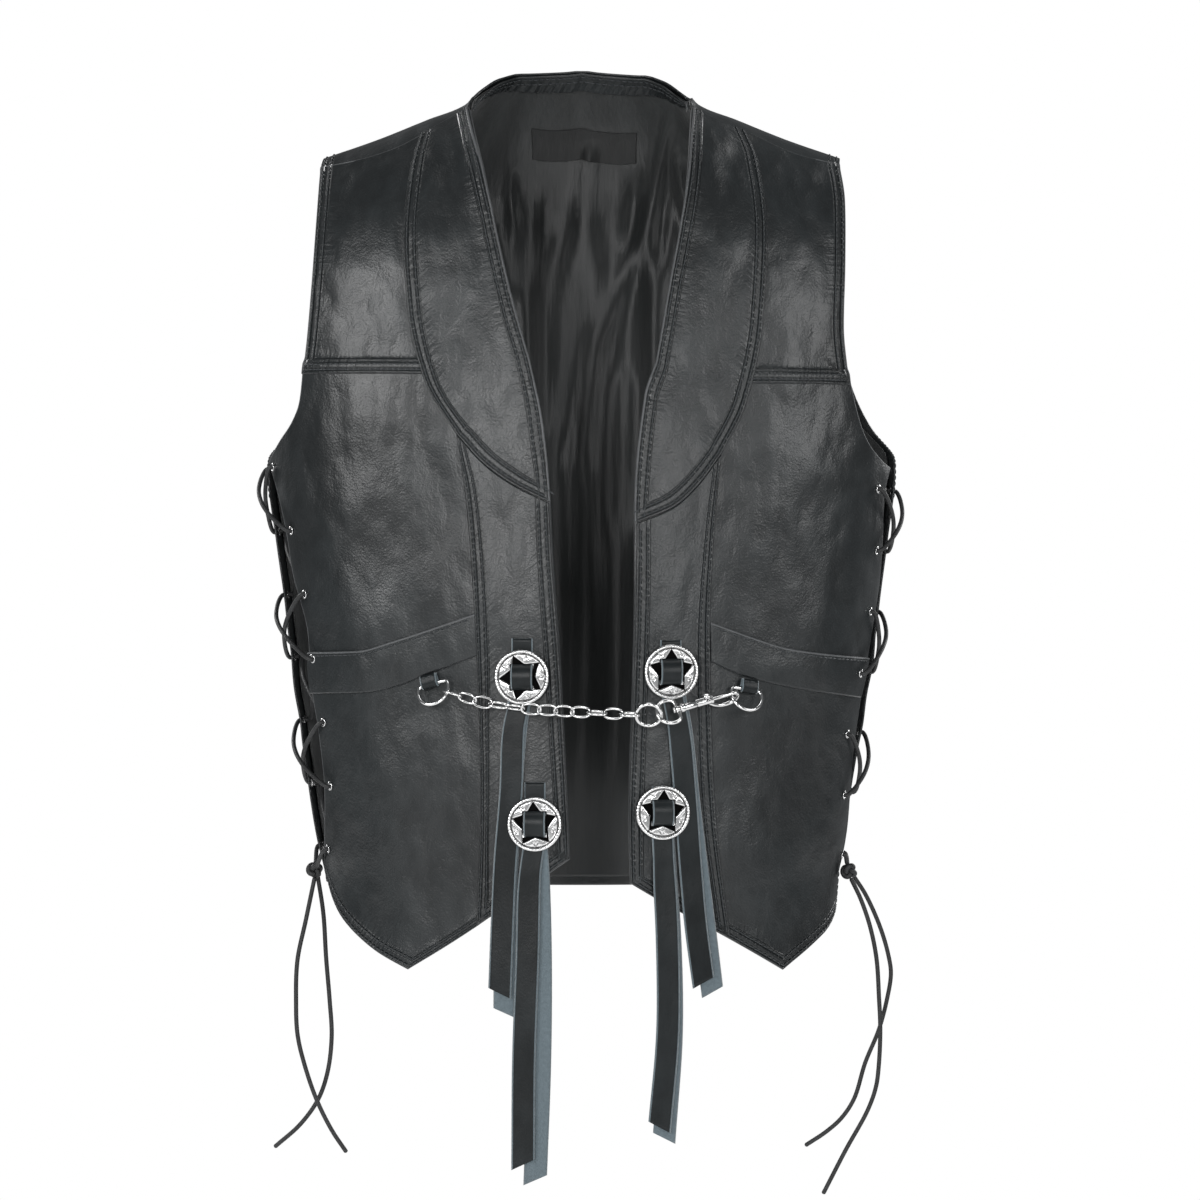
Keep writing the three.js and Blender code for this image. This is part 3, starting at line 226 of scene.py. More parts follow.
LACE_TAILS = {
    "left_a": [
        (-195, -6, -541), (-201, -9, -569), (-207, -10, -598), (-208, -10, -628),
        (-207, -9, -652), (-202, -8, -674), (-193, -8, -700), (-182, -8, -722),
        (-172, -8, -737),
    ],
    "left_b": [
        (-191.5, 1, -541), (-189, 3, -565), (-187, 4, -598), (-184.5, 4, -628),
        (-183, 4, -655), (-186, 3, -681), (-193, 3, -701), (-206, 3, -719), (-224, 4, -735),
    ],
    "right_a": [
        (196, -19, -540), (202, -18, -552), (209, -16, -572), (214, -14, -596),
        (216, -12, -625), (217, -11, -648), (216, -10, -674), (214, -9, -690),
        (208, -9, -707), (192, -9, -736), (176, -9, -767),
    ],
    "right_b": [
        (199, -11, -538), (207, -4, -551), (217.5, 2, -574), (224, 7, -595), (226, 7, -609),
        (223, 6, -628), (217, 5, -650), (207, 4, -674), (199, 4, -700), (190, 4, -714),
        (179, 4, -724), (164, 4, -734),
    ],
}
KNOTS = {"left": (-0.985, -531), "right": (0.93, -531)}
KNOT_RADIUS = 6
KNOT_LIFT = 8.8
LACE_WIDTH = 3.2
LACE_LIFT = 3.6
EYELET_ROWS = 7
EYELET_INSET = 8
WELT_ROW = 3
WELT_DEPTH = 2.2
FLANK_LIMIT = 0.95

# Ring tabs: bar centre as x, z, turn in degrees and how far the ring has slid along its bar.
TABS = {"left": (-104.9, -394.8, 16, 2.2), "right": (116.4, -398.4, -10, -2.2)}
RING_RADIUS = 11.5
RING_WIRE = 1.3
RING_FLAT = 5.2
RING_TILT = -34
HOOK_RISE = 15.8
HOOK_REACH = 40.2
HOOK_CONTACT = 196
HOOK_REARWARD = 0.31
HOOK_ROLL = 45
LINK_TILT = 31
LINK_WIRE = 0.82
LINK_HALF_WIDTH = 3.8
LINK_GAP = 0.5
O_RING_RADIUS = 8.8
O_RING_WIRE = 1.1
LINK_TURNS = [82, 32, -18, -66, -112, -160, -208, -158, -206, -254, -206, -256]


# ---- The form ----

def smooth(xs, ys, x):
    """A monotone cubic through a table's rows, level past its ends."""
    xs, ys = np.asarray(xs, float), np.asarray(ys, float)
    if xs[0] > xs[-1]:
        xs, ys = xs[::-1], ys[::-1]
    x = np.clip(x, xs[0], xs[-1])
    step = np.diff(xs)
    slope = np.diff(ys) / step
    product = slope[:-1] * slope[1:]
    total = np.where(product > 0, slope[:-1] + slope[1:], 1)
    bend = np.concatenate([slope[:1], np.where(product > 0, 2 * product / total, 0), slope[-1:]])
    i = np.clip(np.searchsorted(xs, x, side="right") - 1, 0, len(xs) - 2)
    t = (x - xs[i]) / step[i]
    far = t * t * (3 - 2 * t)
    rise = t * (1 - t) ** 2 * step[i] * bend[i] - t * t * (1 - t) * step[i] * bend[i + 1]
    return (1 - far) * ys[i] + far * ys[i + 1] + rise


def ramp(x, low, high):
    """Smooth step from 0 at low to 1 at high."""
    t = np.clip((x - low) / (high - low), 0, 1)
    return t * t * (3 - 2 * t)


def across(a):
    """Share of the half width at turn a: sine to the power 2 over the section's power."""
    sine = np.sin(a * np.pi / 2)
    return np.sign(sine) * np.abs(sine) ** (2 / SECTION_POWER)


def deep(a):
    """Share of the depth at turn a: cosine to the power 2 over the section's power."""
    cosine = np.cos(a * np.pi / 2)
    return np.sign(cosine) * np.abs(cosine) ** (2 / SECTION_POWER)


def ridge(x, s):
    """Height of the shoulder ridge at x, eased to the back's own ridge behind it."""
    front = smooth(RIDGE["x"], RIDGE["z"], np.abs(x))
    back = smooth(BACK_RIDGE["x"], BACK_RIDGE["z"], np.abs(x))
    return np.where(s < 0, front + (back - front) * ramp(-s, 0, BACK_EASE), front)


def bare(a, s):
    """A point of the form: s is the length down from the ridge, over 0 in front. It rolls over
    the shoulder on a quarter circle, then goes straight down at the section's depth."""
    a, s = np.broadcast_arrays(np.asarray(a, float), np.asarray(s, float))
    turn = np.minimum(np.abs(s) / ROLL, np.pi / 2)
    below = np.maximum(0, np.abs(s) - ROLL * np.pi / 2)
    z = ridge(HALF_WIDTH * across(a), s) - ROLL * (1 - np.cos(turn)) - below
    facing = np.where(s < 0, 1, -1) * deep(a)
    front, back = smooth(FORM["z"], FORM["front"], z), smooth(FORM["z"], FORM["back"], z)
    depth = np.where(facing > 0, back, front)
    width = smooth(FORM["z"], FORM["width"], z)
    return np.stack([width * across(a), facing * depth * np.sin(turn), z], -1)


def unit(v):
    """The vectors scaled to length 1."""
    return v / np.maximum(np.linalg.norm(v, axis=-1, keepdims=True), 1e-9)


def outward(a, s):
    """The form's outward direction, from the cross product of its two slopes."""
    along_a = bare(a + 0.004, s) - bare(a - 0.004, s)
    along_s = bare(a, s + 1) - bare(a, s - 1)
    return unit(np.cross(along_s, along_a))


def locate(x, z, behind=1):
    """The turn and the length of the form's point seen at x, z, by halving the length."""
    x, z = np.broadcast_arrays(np.asarray(x, float), np.asarray(z, float))
    share = np.minimum(np.abs(x) / smooth(FORM["z"], FORM["width"], z), 1)
    a = np.sign(x) * np.arcsin(share ** (SECTION_POWER / 2)) * 2 / np.pi
    near, far = np.zeros_like(a), np.full_like(a, 900.0)
    for _ in range(32):
        middle = (near + far) / 2
        above = bare(a, behind * middle)[..., 2] > z
        near, far = np.where(above, middle, near), np.where(above, far, middle)
    return np.stack([a, behind * near], -1)


def girth(turn, z, out):
    """The point of the form's lower part at that turn and height, moved outwards."""
    drop = ridge(HALF_WIDTH * across(turn), 1.0) - z
    s = ROLL * np.pi / 2 + drop - ROLL
    return bare(turn, s) + outward(turn, s) * np.asarray(out, float)[..., None]


# ---- Edges and patches ----

def sampled(points):
    """A curve over t from 0 to 1, read from evenly spaced points."""
    steps = np.linspace(0, 1, len(points))
    return lambda t: read_at(t, steps, points)


def edge(points, lift=0, behind=1):
    """An edge through x, z points, as turn and length on the form, by its share of length."""
    points = np.asarray(points, float)
    reach = lengths(points)
    at = np.linspace(0, reach[-1], 301)
    x, z = smooth(reach, points[:, 0], at), smooth(reach, points[:, 1], at)
    return sampled(locate(x, z + lift, behind))


def joined(first, second, share):
    """The first curve up to share, then the second."""
    def place(t):
        t = np.asarray(t)
        before, after = np.clip(t / share, 0, 1), np.clip((t - share) / (1 - share), 0, 1)
        return np.where((t < share)[..., None], first(before), second(after))
    return place


def backwards(curve):
    """The curve from its end to its start."""
    return lambda t: curve(1 - np.asarray(t))


def stretch(curve, start, end):
    """The part of the curve between two shares."""
    return lambda t: curve(start + (end - start) * np.asarray(t))


def patch(left, right, bottom, top):
    """A Coons patch: the two ruled surfaces between facing edges, less the corners' blend."""
    low_left, high_left, low_right, high_right = left(0.0), left(1.0), right(0.0), right(1.0)

    def place(u, v):
        uu, vv = u[..., None], v[..., None]
        corners = ((1 - uu) * ((1 - vv) * low_left + vv * high_left)
                   + uu * ((1 - vv) * low_right + vv * high_right))
        return (1 - uu) * left(v) + uu * right(v) + (1 - vv) * bottom(u) + vv * top(u) - corners

    return place


def sided(front, inner, outer, bottom, top):
    """A patch whose edges run from the opening outwards, mirrored for the left front."""
    if front["sign"] > 0:
        return patch(inner, outer, bottom, top)
    return patch(outer, inner, backwards(bottom), backwards(top))


def hanging_wave(x, z):
    """The slow waves in the hanging fronts: a sine across, growing below the chest."""
    low = ramp(-z, 230, 480)
    middle = np.maximum(0, 1 - ((np.abs(x) - 132) / 42) ** 2)
    return low * middle * 2.2 * np.sin(x / 19 + z / 130)


def front_relief(x, z):
    """The fronts' waves, with shallow drag lines that run from the armhole to the pocket."""
    pull = np.sin((np.abs(x) * 0.55 + z) / 9.5 + 2 * np.sin(x / 31)) * ramp(np.abs(x), 120, 175)
    pull = pull * ramp(-z, 150, 230) * ramp(z, -330, -260)
    return hanging_wave(x, z) + 0.45 * pull


def back_relief(x, z):
    """The back's soft folds: waves across that grow below the shoulder blades."""
    low = ramp(-z, 120, 420) * ramp(z, -560, -470)
    fold = 1.6 * np.sin(x / 23 + z / 210) + 0.8 * np.sin(x / 11 - z / 90 + 1.3)
    crease = 0.5 * np.sin(z / 8 + np.sin(x / 37) * 2) * ramp(-z, 330, 380) * ramp(z, -460, -420)
    return low * fold + crease * ramp(np.abs(x), 40, 150)


def lining_fold(x, z):
    """The lining's long folds: bells across, each about a line down from the neck."""
    start, end = ramp(-z, 14, 70), 1 - ramp(-z, 430, 525)
    down = np.clip((-z - 14) / 480, 0, 1)
    depth = sum(deepest * np.exp(-(((x - top - (low - top) * down) / wide) ** 2))
                for top, low, wide, deepest in LINING_FOLDS)
    ripple = 0.7 * np.sin(x / 5.5 + z / 60) * ramp(-z, 30, 120)
    return -start * end * (depth + ripple)


def lining_creases(x, z):
    """The lining's short folds: each a bell across a slanting line, faded at both ends."""
    height = np.zeros(np.broadcast(x, z).shape)
    for top_x, top_z, low_x, low_z, wide, rise in LINING_CREASES:
        down = (top_z - z) / (top_z - low_z)
        reach = (ramp(down, 0, 0.2) * (1 - ramp(down, 0.75, 1))) * rise
        height = height + reach * np.exp(-(((x - top_x - (low_x - top_x) * down) / wide) ** 2))
    return height


# ---- Meshes ----

def steps_with_margins(count, stops=(), margin=0.006):
    """Shares from 0 to 1, crowded at both ends, that pass through each stop."""
    inner = np.linspace(0, 1, count)
    shares = np.concatenate([inner, [margin * 0.4, margin, 1 - margin, 1 - margin * 0.4], stops])
    shares = np.unique(np.round(shares, 6))
    kept = [shares[0]]
    for share in shares[1:]:
        if share - kept[-1] > margin * 0.3:
            kept.append(share)
        elif share in stops:
            kept[-1] = share
    kept[-1] = 1.0
    return np.array(kept)


def new_object(name, points, faces, smooth_shading=True):
    """A mesh object at the origin from millimetre points, with its faces turned outwards."""
    mesh = bpy.data.meshes.new(name)
    mesh.from_pydata(points * MM, [], faces)
    mesh.validate()
    mesh.polygons.foreach_set("use_smooth", np.full(len(mesh.polygons), smooth_shading))
    mesh.update()
    if signed_volume(mesh) < 0:
        mesh.flip_normals()
    obj = bpy.data.objects.new(name, mesh)
    bpy.context.collection.objects.link(obj)
    return obj


def signed_volume(mesh):
    """Sum over triangles of the triple product of their corners: under 0 if inside out."""
    mesh.calc_loop_triangles()
    corners = np.empty(len(mesh.loop_triangles) * 3, int)
    mesh.loop_triangles.foreach_get("vertices", corners)
    points = np.empty(len(mesh.vertices) * 3)
    mesh.vertices.foreach_get("co", points)
    a, b, c = points.reshape(-1, 3)[corners.reshape(-1, 3)].transpose(1, 0, 2)
    return float((a * np.cross(b, c)).sum())


def add_values(obj, name, values):
    """A number for each vertex, for the materials to read."""
    attribute = obj.data.attributes.new(name, "FLOAT", "POINT")
    attribute.data.foreach_set("value", np.asarray(values, np.float32).ravel())


def finish_piece(obj, material, nodes=(), body="vest"):
    """Gives the piece its material and slot, lets it stand for its nodes and ride its body."""
    for one in material if isinstance(material, list) else [material]:
        obj.data.materials.append(one)
    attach(obj, body)
    if nodes:
        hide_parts(*nodes)
    return obj


def quads(rows, columns, wrap=False):
    """Faces of a grid of vertices, joined round its columns if wrap is set."""
    last = columns if wrap else columns - 1
    i, j = np.meshgrid(np.arange(rows - 1), np.arange(last), indexing="ij")
    k = (j + 1) % columns
    low, high = i * columns, (i + 1) * columns
    return np.stack([low + j, low + k, high + k, high + j], -1).reshape(-1, 4).tolist()


def wrapped_faces(rows, columns):
    """Faces of a grid joined round both ways."""
    j = np.arange(columns)
    k = (j + 1) % columns
    last = (rows - 1) * columns
    return quads(rows, columns, wrap=True) + np.stack([last + j, last + k, k, j], -1).tolist()


def capped_faces(rows, columns):
    """Faces of a grid joined round its columns and closed by the two poles that follow it."""
    j = np.arange(columns)
    k = (j + 1) % columns
    last, pole = (rows - 1) * columns, np.full(columns, rows * columns)
    return (quads(rows, columns, wrap=True) + np.stack([pole, k, j], -1).tolist()
            + np.stack([pole + 1, last + j, last + k], -1).tolist())


def rim_order(rows, columns):
    """Indices round the border of a grid."""
    grid = np.arange(rows * columns).reshape(rows, columns)
    return np.concatenate([grid[0], grid[1:, -1], grid[-1, -2::-1], grid[-2:0:-1, 0]])


class Sheet:
    """A cloth or leather piece: a grid of points and outward directions on the form."""

    def __init__(self, place, u, v, relief=None):
        uu, vv = np.meshgrid(u, v)
        at = place(uu, vv)
        a, s = at[..., 0], at[..., 1]
        self.points = bare(a, s)
        self.normals = outward(a, s)
        if relief:
            rise = relief(self.points[..., 0], self.points[..., 2])
            self.points = self.points + self.normals * rise[..., None]

    def reach(self, axis):
        """Length along the grid from its first line, at every vertex."""
        step = np.linalg.norm(np.diff(self.points, axis=axis), axis=-1)
        start = np.zeros_like(np.take(step, [0], axis=axis))
        return np.concatenate([start, np.cumsum(step, axis=axis)], axis=axis)

    def from_edge(self, side):
        """Length from one of the four edges, at every vertex."""
        axis = 1 if side in ("left", "right") else 0
        reach = self.reach(axis)
        if side in ("left", "bottom"):
            return reach
        return np.take(reach, [-1], axis=axis) - reach

    def flat_area(self):
        """Area of the grid's cells, half the cross product of their diagonals, in mm2."""
        p = self.points
        crossed = np.cross(p[1:, 1:] - p[:-1, :-1], p[1:, :-1] - p[:-1, 1:])
        return float(np.linalg.norm(crossed, axis=-1).sum() / 2)

    def wall(self, name, inner, outer, stitched=(), pale=(), bulge=0.35, lift=0.0, raw=True):
        """The closed wall between two offsets, both raised by lift, with a rounded rim and the
        values that the materials read: seam, the length from the nearest stitched edge, along,
        the length beside it, and rim, which is 1 on a cut edge and next to a pale one."""
        rows, columns = self.points.shape[:2]
        raised = np.broadcast_to(lift, (rows, columns))[..., None]
        top = (self.points + self.normals * (outer + raised)).reshape(-1, 3)
        low = (self.points + self.normals * (inner + raised)).reshape(-1, 3)
        ring = rim_order(rows, columns)
        away = self._away().reshape(-1, 3)[ring]
        middle = (top[ring] + low[ring]) / 2 + away * bulge * (outer - inner)
        count = rows * columns
        grid = quads(rows, columns)
        under = (np.array(grid)[:, ::-1] + count).tolist()
        after = np.roll(ring, -1)
        near, next_near = 2 * count + np.arange(len(ring)), 2 * count + np.roll(np.arange(len(ring)), -1)
        upper = np.stack([after, ring, near, next_near], -1).tolist()
        lower = np.stack([next_near, near, ring + count, after + count], -1).tolist()
        obj = new_object(name, np.concatenate([top, low, middle]), grid + under + upper + lower)
        seam, along = np.full((rows, columns), 60.0), np.zeros((rows, columns))
        for side in stitched:
            distance = self.from_edge(side)
            beside = self.reach(0 if side in ("left", "right") else 1)
            along = np.where(distance < seam, beside, along)
            seam = np.minimum(seam, distance)
        add_values(obj, "seam", np.concatenate([seam.ravel(), np.full(count + len(ring), 60.0)]))
        add_values(obj, "along", np.concatenate([along.ravel(), np.zeros(count + len(ring))]))
        rim = np.zeros(2 * count + len(ring))
        rim[2 * count:] = 1 if raw else 0.3
        for side in pale:
            rim[:count] = np.maximum(rim[:count], (self.from_edge(side).ravel() < 0.75) * 0.95)
        add_values(obj, "rim", rim)
        return obj

    def _away(self):
        """At the border, the direction that leaves the sheet along the surface."""
        p = self.points
        away = np.zeros_like(p)
        away[:, 0] += unit(p[:, 0] - p[:, 2])
        away[:, -1] += unit(p[:, -1] - p[:, -3])
        away[0] += unit(p[0] - p[2])
        away[-1] += unit(p[-1] - p[-3])
        return unit(away)

    def line(self, side, distance, start=0.0, end=0.0, out=0.0):
        """The line that runs beside an edge at a distance, cut back at its ends."""
        p, n = self.points, self.normals
        if side in ("bottom", "top"):
            p, n = p.transpose(1, 0, 2), n.transpose(1, 0, 2)
        if side in ("right", "top"):
            p, n = p[:, ::-1], n[:, ::-1]
        step = np.linalg.norm(np.diff(p, axis=1), axis=-1)
        reach = np.concatenate([np.zeros((len(p), 1)), np.cumsum(step, axis=1)], axis=1)
        i = np.clip((reach < distance).sum(axis=1) - 1, 0, p.shape[1] - 2)
        row = np.arange(len(p))
        t = ((distance - reach[row, i]) / step[row, i])[:, None]
        points = p[row, i] * (1 - t) + p[row, i + 1] * t
        normals = unit(n[row, i] * (1 - t) + n[row, i + 1] * t)
        points = points + normals * out
        length = lengths(points)
        at = np.linspace(start, length[-1] - end, max(2, int((length[-1] - start - end) / 1.2)))
        return read_at(at, length, points), unit(read_at(at, length, normals))


def spline(points, per_span):
    """A centripetal Catmull-Rom curve: each span is a cubic whose end slopes weigh the
    neighbouring steps by the square roots of their lengths."""
    points = np.asarray(points, float)
    ends = [2 * points[0] - points[1], 2 * points[-1] - points[-2]]
    p = np.concatenate([ends[:1], points, ends[1:]])
    root = np.maximum(np.linalg.norm(np.diff(p, axis=0), axis=1) ** 0.5, 1e-4)[:, None]
    p0, p1, p2, p3 = p[:-3], p[1:-2], p[2:-1], p[3:]
    d0, d1, d2 = root[:-2], root[1:-1], root[2:]
    leave = ((p1 - p0) / d0 - (p2 - p0) / (d0 + d1) + (p2 - p1) / d1) * d1
    arrive = ((p2 - p1) / d1 - (p3 - p1) / (d1 + d2) + (p3 - p2) / d2) * d1
    t = np.arange(per_span)[None, :, None] / per_span
    p1, p2, leave, arrive = p1[:, None], p2[:, None], leave[:, None], arrive[:, None]
    body = (p1 + leave * t + (-3 * p1 + 3 * p2 - 2 * leave - arrive) * t**2
            + (2 * p1 - 2 * p2 + leave + arrive) * t**3)
    return np.concatenate([body.reshape(-1, points.shape[1]), points[-1:]])


def lengths(points):
    """Length along a line of points, at each of them."""
    return np.concatenate([[0], np.cumsum(np.linalg.norm(np.diff(points, axis=0), axis=1))])


def read_at(at, length, values):
    """The columns of values, given at those lengths, read between them."""
    return np.stack([np.interp(at, length, column) for column in values.T], -1)


def evenly(points, spacing):
    """Points at even lengths along a line of points."""
    length = lengths(points)
    at = np.linspace(0, length[-1], max(2, int(round(length[-1] / spacing)) + 1))
    return read_at(at, length, points)


def path_frames(points, closed=False, first=None):
    """Tangents and two cross directions along a path, carried on with no twist."""
    if closed:
        tangents = unit(np.roll(points, -1, 0) - np.roll(points, 1, 0))
    else:
        tangents = unit(np.gradient(points, axis=0))
    helper = np.array([0.0, 0, 1]) if first is None else np.asarray(first, float)
    if abs(tangents[0] @ helper) > 0.95:
        helper = np.array([1.0, 0, 0])
    side = unit(helper - tangents[0] * (helper @ tangents[0]))
    sides = [side]
    for tangent in tangents[1:]:
        side = side - tangent * (side @ tangent)
        side = side / np.linalg.norm(side)
        sides.append(side)
    sides = np.array(sides)
    return tangents, sides, np.cross(tangents, sides)


def tube_parts(points, radius, sides=12, closed=False, first=None):
    """A round tube carried along a path: each ring is the path's point plus the radius times
    cosine and sine of its two cross directions. Open ends are domed to a pole."""
    tangents, across_a, across_b = path_frames(points, closed, first)
    radius = np.broadcast_to(radius, len(points)).astype(float)
    if not closed:
        dome = np.array([0.94, 0.72, 0.4])
        head = points[0] - tangents[0] * (dome * 0.8 * radius[0])[:, None]
        tail = points[-1] + tangents[-1] * (dome * 0.8 * radius[-1])[:, None]
        shrink = np.sqrt(1 - dome**2)
        points = np.concatenate([head, points, tail[::-1]])
        radius = np.concatenate([radius[0] * shrink, radius, radius[-1] * shrink[::-1]])
        across_a = np.concatenate([across_a[:1].repeat(3, 0), across_a, across_a[-1:].repeat(3, 0)])
        across_b = np.concatenate([across_b[:1].repeat(3, 0), across_b, across_b[-1:].repeat(3, 0)])
    angle = np.linspace(0, 2 * np.pi, sides, endpoint=False)
    ring = (np.cos(angle)[None, :, None] * across_a[:, None]
            + np.sin(angle)[None, :, None] * across_b[:, None])
    grid = points[:, None] + ring * radius[:, None, None]
    rows = len(points)
    vertices = grid.reshape(-1, 3)
    if closed:
        return vertices, wrapped_faces(rows, sides)
    poles = np.array([points[0] - tangents[0] * radius[0] * 0.15,
                      points[-1] + tangents[-1] * radius[-1] * 0.15])
    return np.concatenate([vertices, poles]), capped_faces(rows, sides)


def lathe_parts(profile, sides=32):
    """A profile of radius and height turned about Z, closed at the axis by poles."""
    profile = np.asarray(profile, float)
    ends = profile[[0, -1]]
    body = profile[1:-1]
    angle = np.linspace(0, 2 * np.pi, sides, endpoint=False)
    grid = np.stack([body[:, :1] * np.cos(angle), body[:, :1] * np.sin(angle),
                     np.repeat(body[:, 1:], sides, 1)], -1)
    rows = len(body)
    poles = np.stack([[0, 0, ends[0, 1]], [0, 0, ends[1, 1]]])
    return np.concatenate([grid.reshape(-1, 3), poles]), capped_faces(rows, sides)


def together(parts):
    """Several closed surfaces as one list of points and one of faces."""
    points, faces, count = [], [], 0
    for vertices, cells in parts:
        points.append(vertices)
        faces += [[i + count for i in cell] for cell in cells]
        count += len(vertices)
    return np.concatenate(points), faces


def copies(part, centres, x_axes, y_axes, z_axes):
    """The same small surface at many places, each with its own three directions."""
    vertices, faces = part
    placed = (centres[:, None] + vertices[None, :, :1] * x_axes[:, None]
              + vertices[None, :, 1:2] * y_axes[:, None] + vertices[None, :, 2:] * z_axes[:, None])
    shift = np.arange(len(centres)) * len(vertices)
    all_faces = []
    for size in sorted({len(face) for face in faces}):
        cells = np.array([face for face in faces if len(face) == size])
        all_faces += (cells[None] + shift[:, None, None]).reshape(-1, size).tolist()
    return placed.reshape(-1, 3), all_faces


def moved(part, matrix):
    """The surface's points carried by a 4 by 4 matrix."""
    vertices, faces = part
    return vertices @ matrix[:3, :3].T + matrix[:3, 3], faces


def basis(x_axis, y_axis, z_axis, origin):
    """The matrix with these directions and origin."""
    matrix = np.eye(4)
    matrix[:3, 0], matrix[:3, 1], matrix[:3, 2], matrix[:3, 3] = x_axis, y_axis, z_axis, origin
    return matrix


def turned(axis, degrees):
    """The rotation about X, Y or Z."""
    return np.array(Matrix.Rotation(np.radians(degrees), 4, axis))


def shifted(x, y, z):
    """The move by x, y, z."""
    matrix = np.eye(4)
    matrix[:3, 3] = x, y, z
    return matrix


def frame_at(x, z, out, turn=0):
    """The frame on the front seen at x, z: right, up and out, turned about out."""
    a, s = locate(x, z)
    normal = outward(a, s)
    right = unit(np.array([1.0, 0, 0]) - normal * normal[0])
    return basis(right, np.cross(normal, right), normal, bare(a, s) + normal * out) @ turned("Z", turn)


# ---- Materials ----

class Value:
    """A number in a shader tree, on which + - * and / add Math nodes."""

    def __init__(self, tree, socket):
        self.tree, self.socket = tree, socket

    def _math(self, operation, first, second):
        return self.tree.add("ShaderNodeMath", {"operation": operation}, [first, second])

    def __add__(self, other):
        return self._math("ADD", self, other)

    def __radd__(self, other):
        return self._math("ADD", other, self)

    def __sub__(self, other):
        return self._math("SUBTRACT", self, other)

    def __rsub__(self, other):
        return self._math("SUBTRACT", other, self)

    def __mul__(self, other):
        return self._math("MULTIPLY", self, other)

    def __rmul__(self, other):
        return self._math("MULTIPLY", other, self)


class Tree:
    """A material's node tree with one way to add a node."""

    def __init__(self, name):
        self.material = bpy.data.materials.new(name)
        self.material.use_nodes = True
        self.nodes, self.links = self.material.node_tree.nodes, self.material.node_tree.links
        self.shader = self.nodes["Principled BSDF"]

    def add(self, kind, settings=None, inputs=None, output=0):
        """A node of that kind: its settings first, then the values or links of its sockets."""
        node = self.nodes.new(kind)
        for key, value in (settings or {}).items():
            if key == "stops":
                self._stops(node.color_ramp, value)
            else:
                setattr(node, key, value)
        pairs = inputs.items() if isinstance(inputs, dict) else enumerate(inputs or [])
        for key, value in pairs:
            self.put(node.inputs[key], value)
        return Value(self, node.outputs[output])

    @staticmethod
    def _stops(color_ramp, stops):
        while len(color_ramp.elements) < len(stops):
            color_ramp.elements.new(0.5)
        for element, (position, shade) in zip(color_ramp.elements, stops):
            element.position = position
            element.color = (shade, shade, shade, 1)

    def put(self, socket, value):
        """Links or sets one socket."""
        if isinstance(value, Value):
            self.links.new(value.socket, socket)
        else:
            socket.default_value = value

    def dress(self, **inputs):
        """Sets the shader's own sockets, with underscores for spaces."""
        for key, value in inputs.items():
            self.put(self.shader.inputs[key.replace("_", " ")], value)
        return self.material

    def place(self, scale=(1, 1, 1)):
        """Object coordinates in metres, scaled along each axis."""
        coordinates = self.add("ShaderNodeTexCoord", output="Object")
        return self.add("ShaderNodeMapping", {}, {"Vector": coordinates, "Scale": scale})

    def noise(self, scale, detail=3.0, roughness=0.55, stretch_by=(1, 1, 1)):
        """Noise of that many waves a metre."""
        return self.add("ShaderNodeTexNoise", {}, {
            "Vector": self.place(stretch_by), "Scale": scale, "Detail": detail, "Roughness": roughness})

    def cells(self, scale):
        """Distance to the nearest of that many points a metre."""
        return self.add("ShaderNodeTexVoronoi", {}, {"Vector": self.place(), "Scale": scale})

    def value(self, name):
        """The piece's own number for each vertex."""
        return self.add("ShaderNodeAttribute", {"attribute_name": name}, output="Fac")

    def between(self, value, low, high):
        """Smooth step from 0 at low to 1 at high."""
        return self.add("ShaderNodeMapRange", {"interpolation_type": "SMOOTHSTEP"},
                        {"Value": value, "From Min": low, "From Max": high})

    def mix(self, factor, first, second):
        """The first colour, turned to the second by factor."""
        return self.add("ShaderNodeMix", {"data_type": "RGBA"},
                        {0: factor, 6: colour(first), 7: colour(second)}, 2)

    def bump(self, height, distance, strength=1.0):
        """Raises the surface by height times the distance in metres."""
        return self.add("ShaderNodeBump", {}, {"Height": height, "Distance": distance, "Strength": strength})


def colour(value):
    """A colour with its alpha, or the link as it is."""
    return value if isinstance(value, Value) else (*value[:3], 1.0)


def seam_rows(settings):
    """Lengths from a stitched edge to its two rows of stitches."""
    return settings.first_row / MM, settings.second_row / MM


def times(shade, factor):
    """The colour, lighter or darker."""
    return tuple(c * factor for c in shade)


def seam_height(tree, settings):
    """Height beside a stitched edge: a turned band 9 mm wide, sunk along its stitch rows."""
    seam = tree.value("seam")
    band = 1 - tree.between(seam, 9.2, 10.6)
    groove = 0.0
    for row in seam_rows(settings):
        beside = tree.add("ShaderNodeMath", {"operation": "ABSOLUTE"}, [seam - row])
        groove = groove + (1 - tree.between(beside, 0.2, 1.9))
    return band * 0.7 - groove * 0.8


def puckers(tree):
    """Short wrinkles square to a stitched edge, drawn in by its thread, that fade inwards."""
    seam, along = tree.value("seam"), tree.value("along")
    place = tree.add("ShaderNodeCombineXYZ", {}, [along * 0.34, seam * 0.035, 0.0])
    ripple = tree.add("ShaderNodeTexNoise", {}, {"Vector": place, "Scale": 1.0, "Detail": 2.0})
    return ripple * (1 - tree.between(seam, 7.0, 20.0))


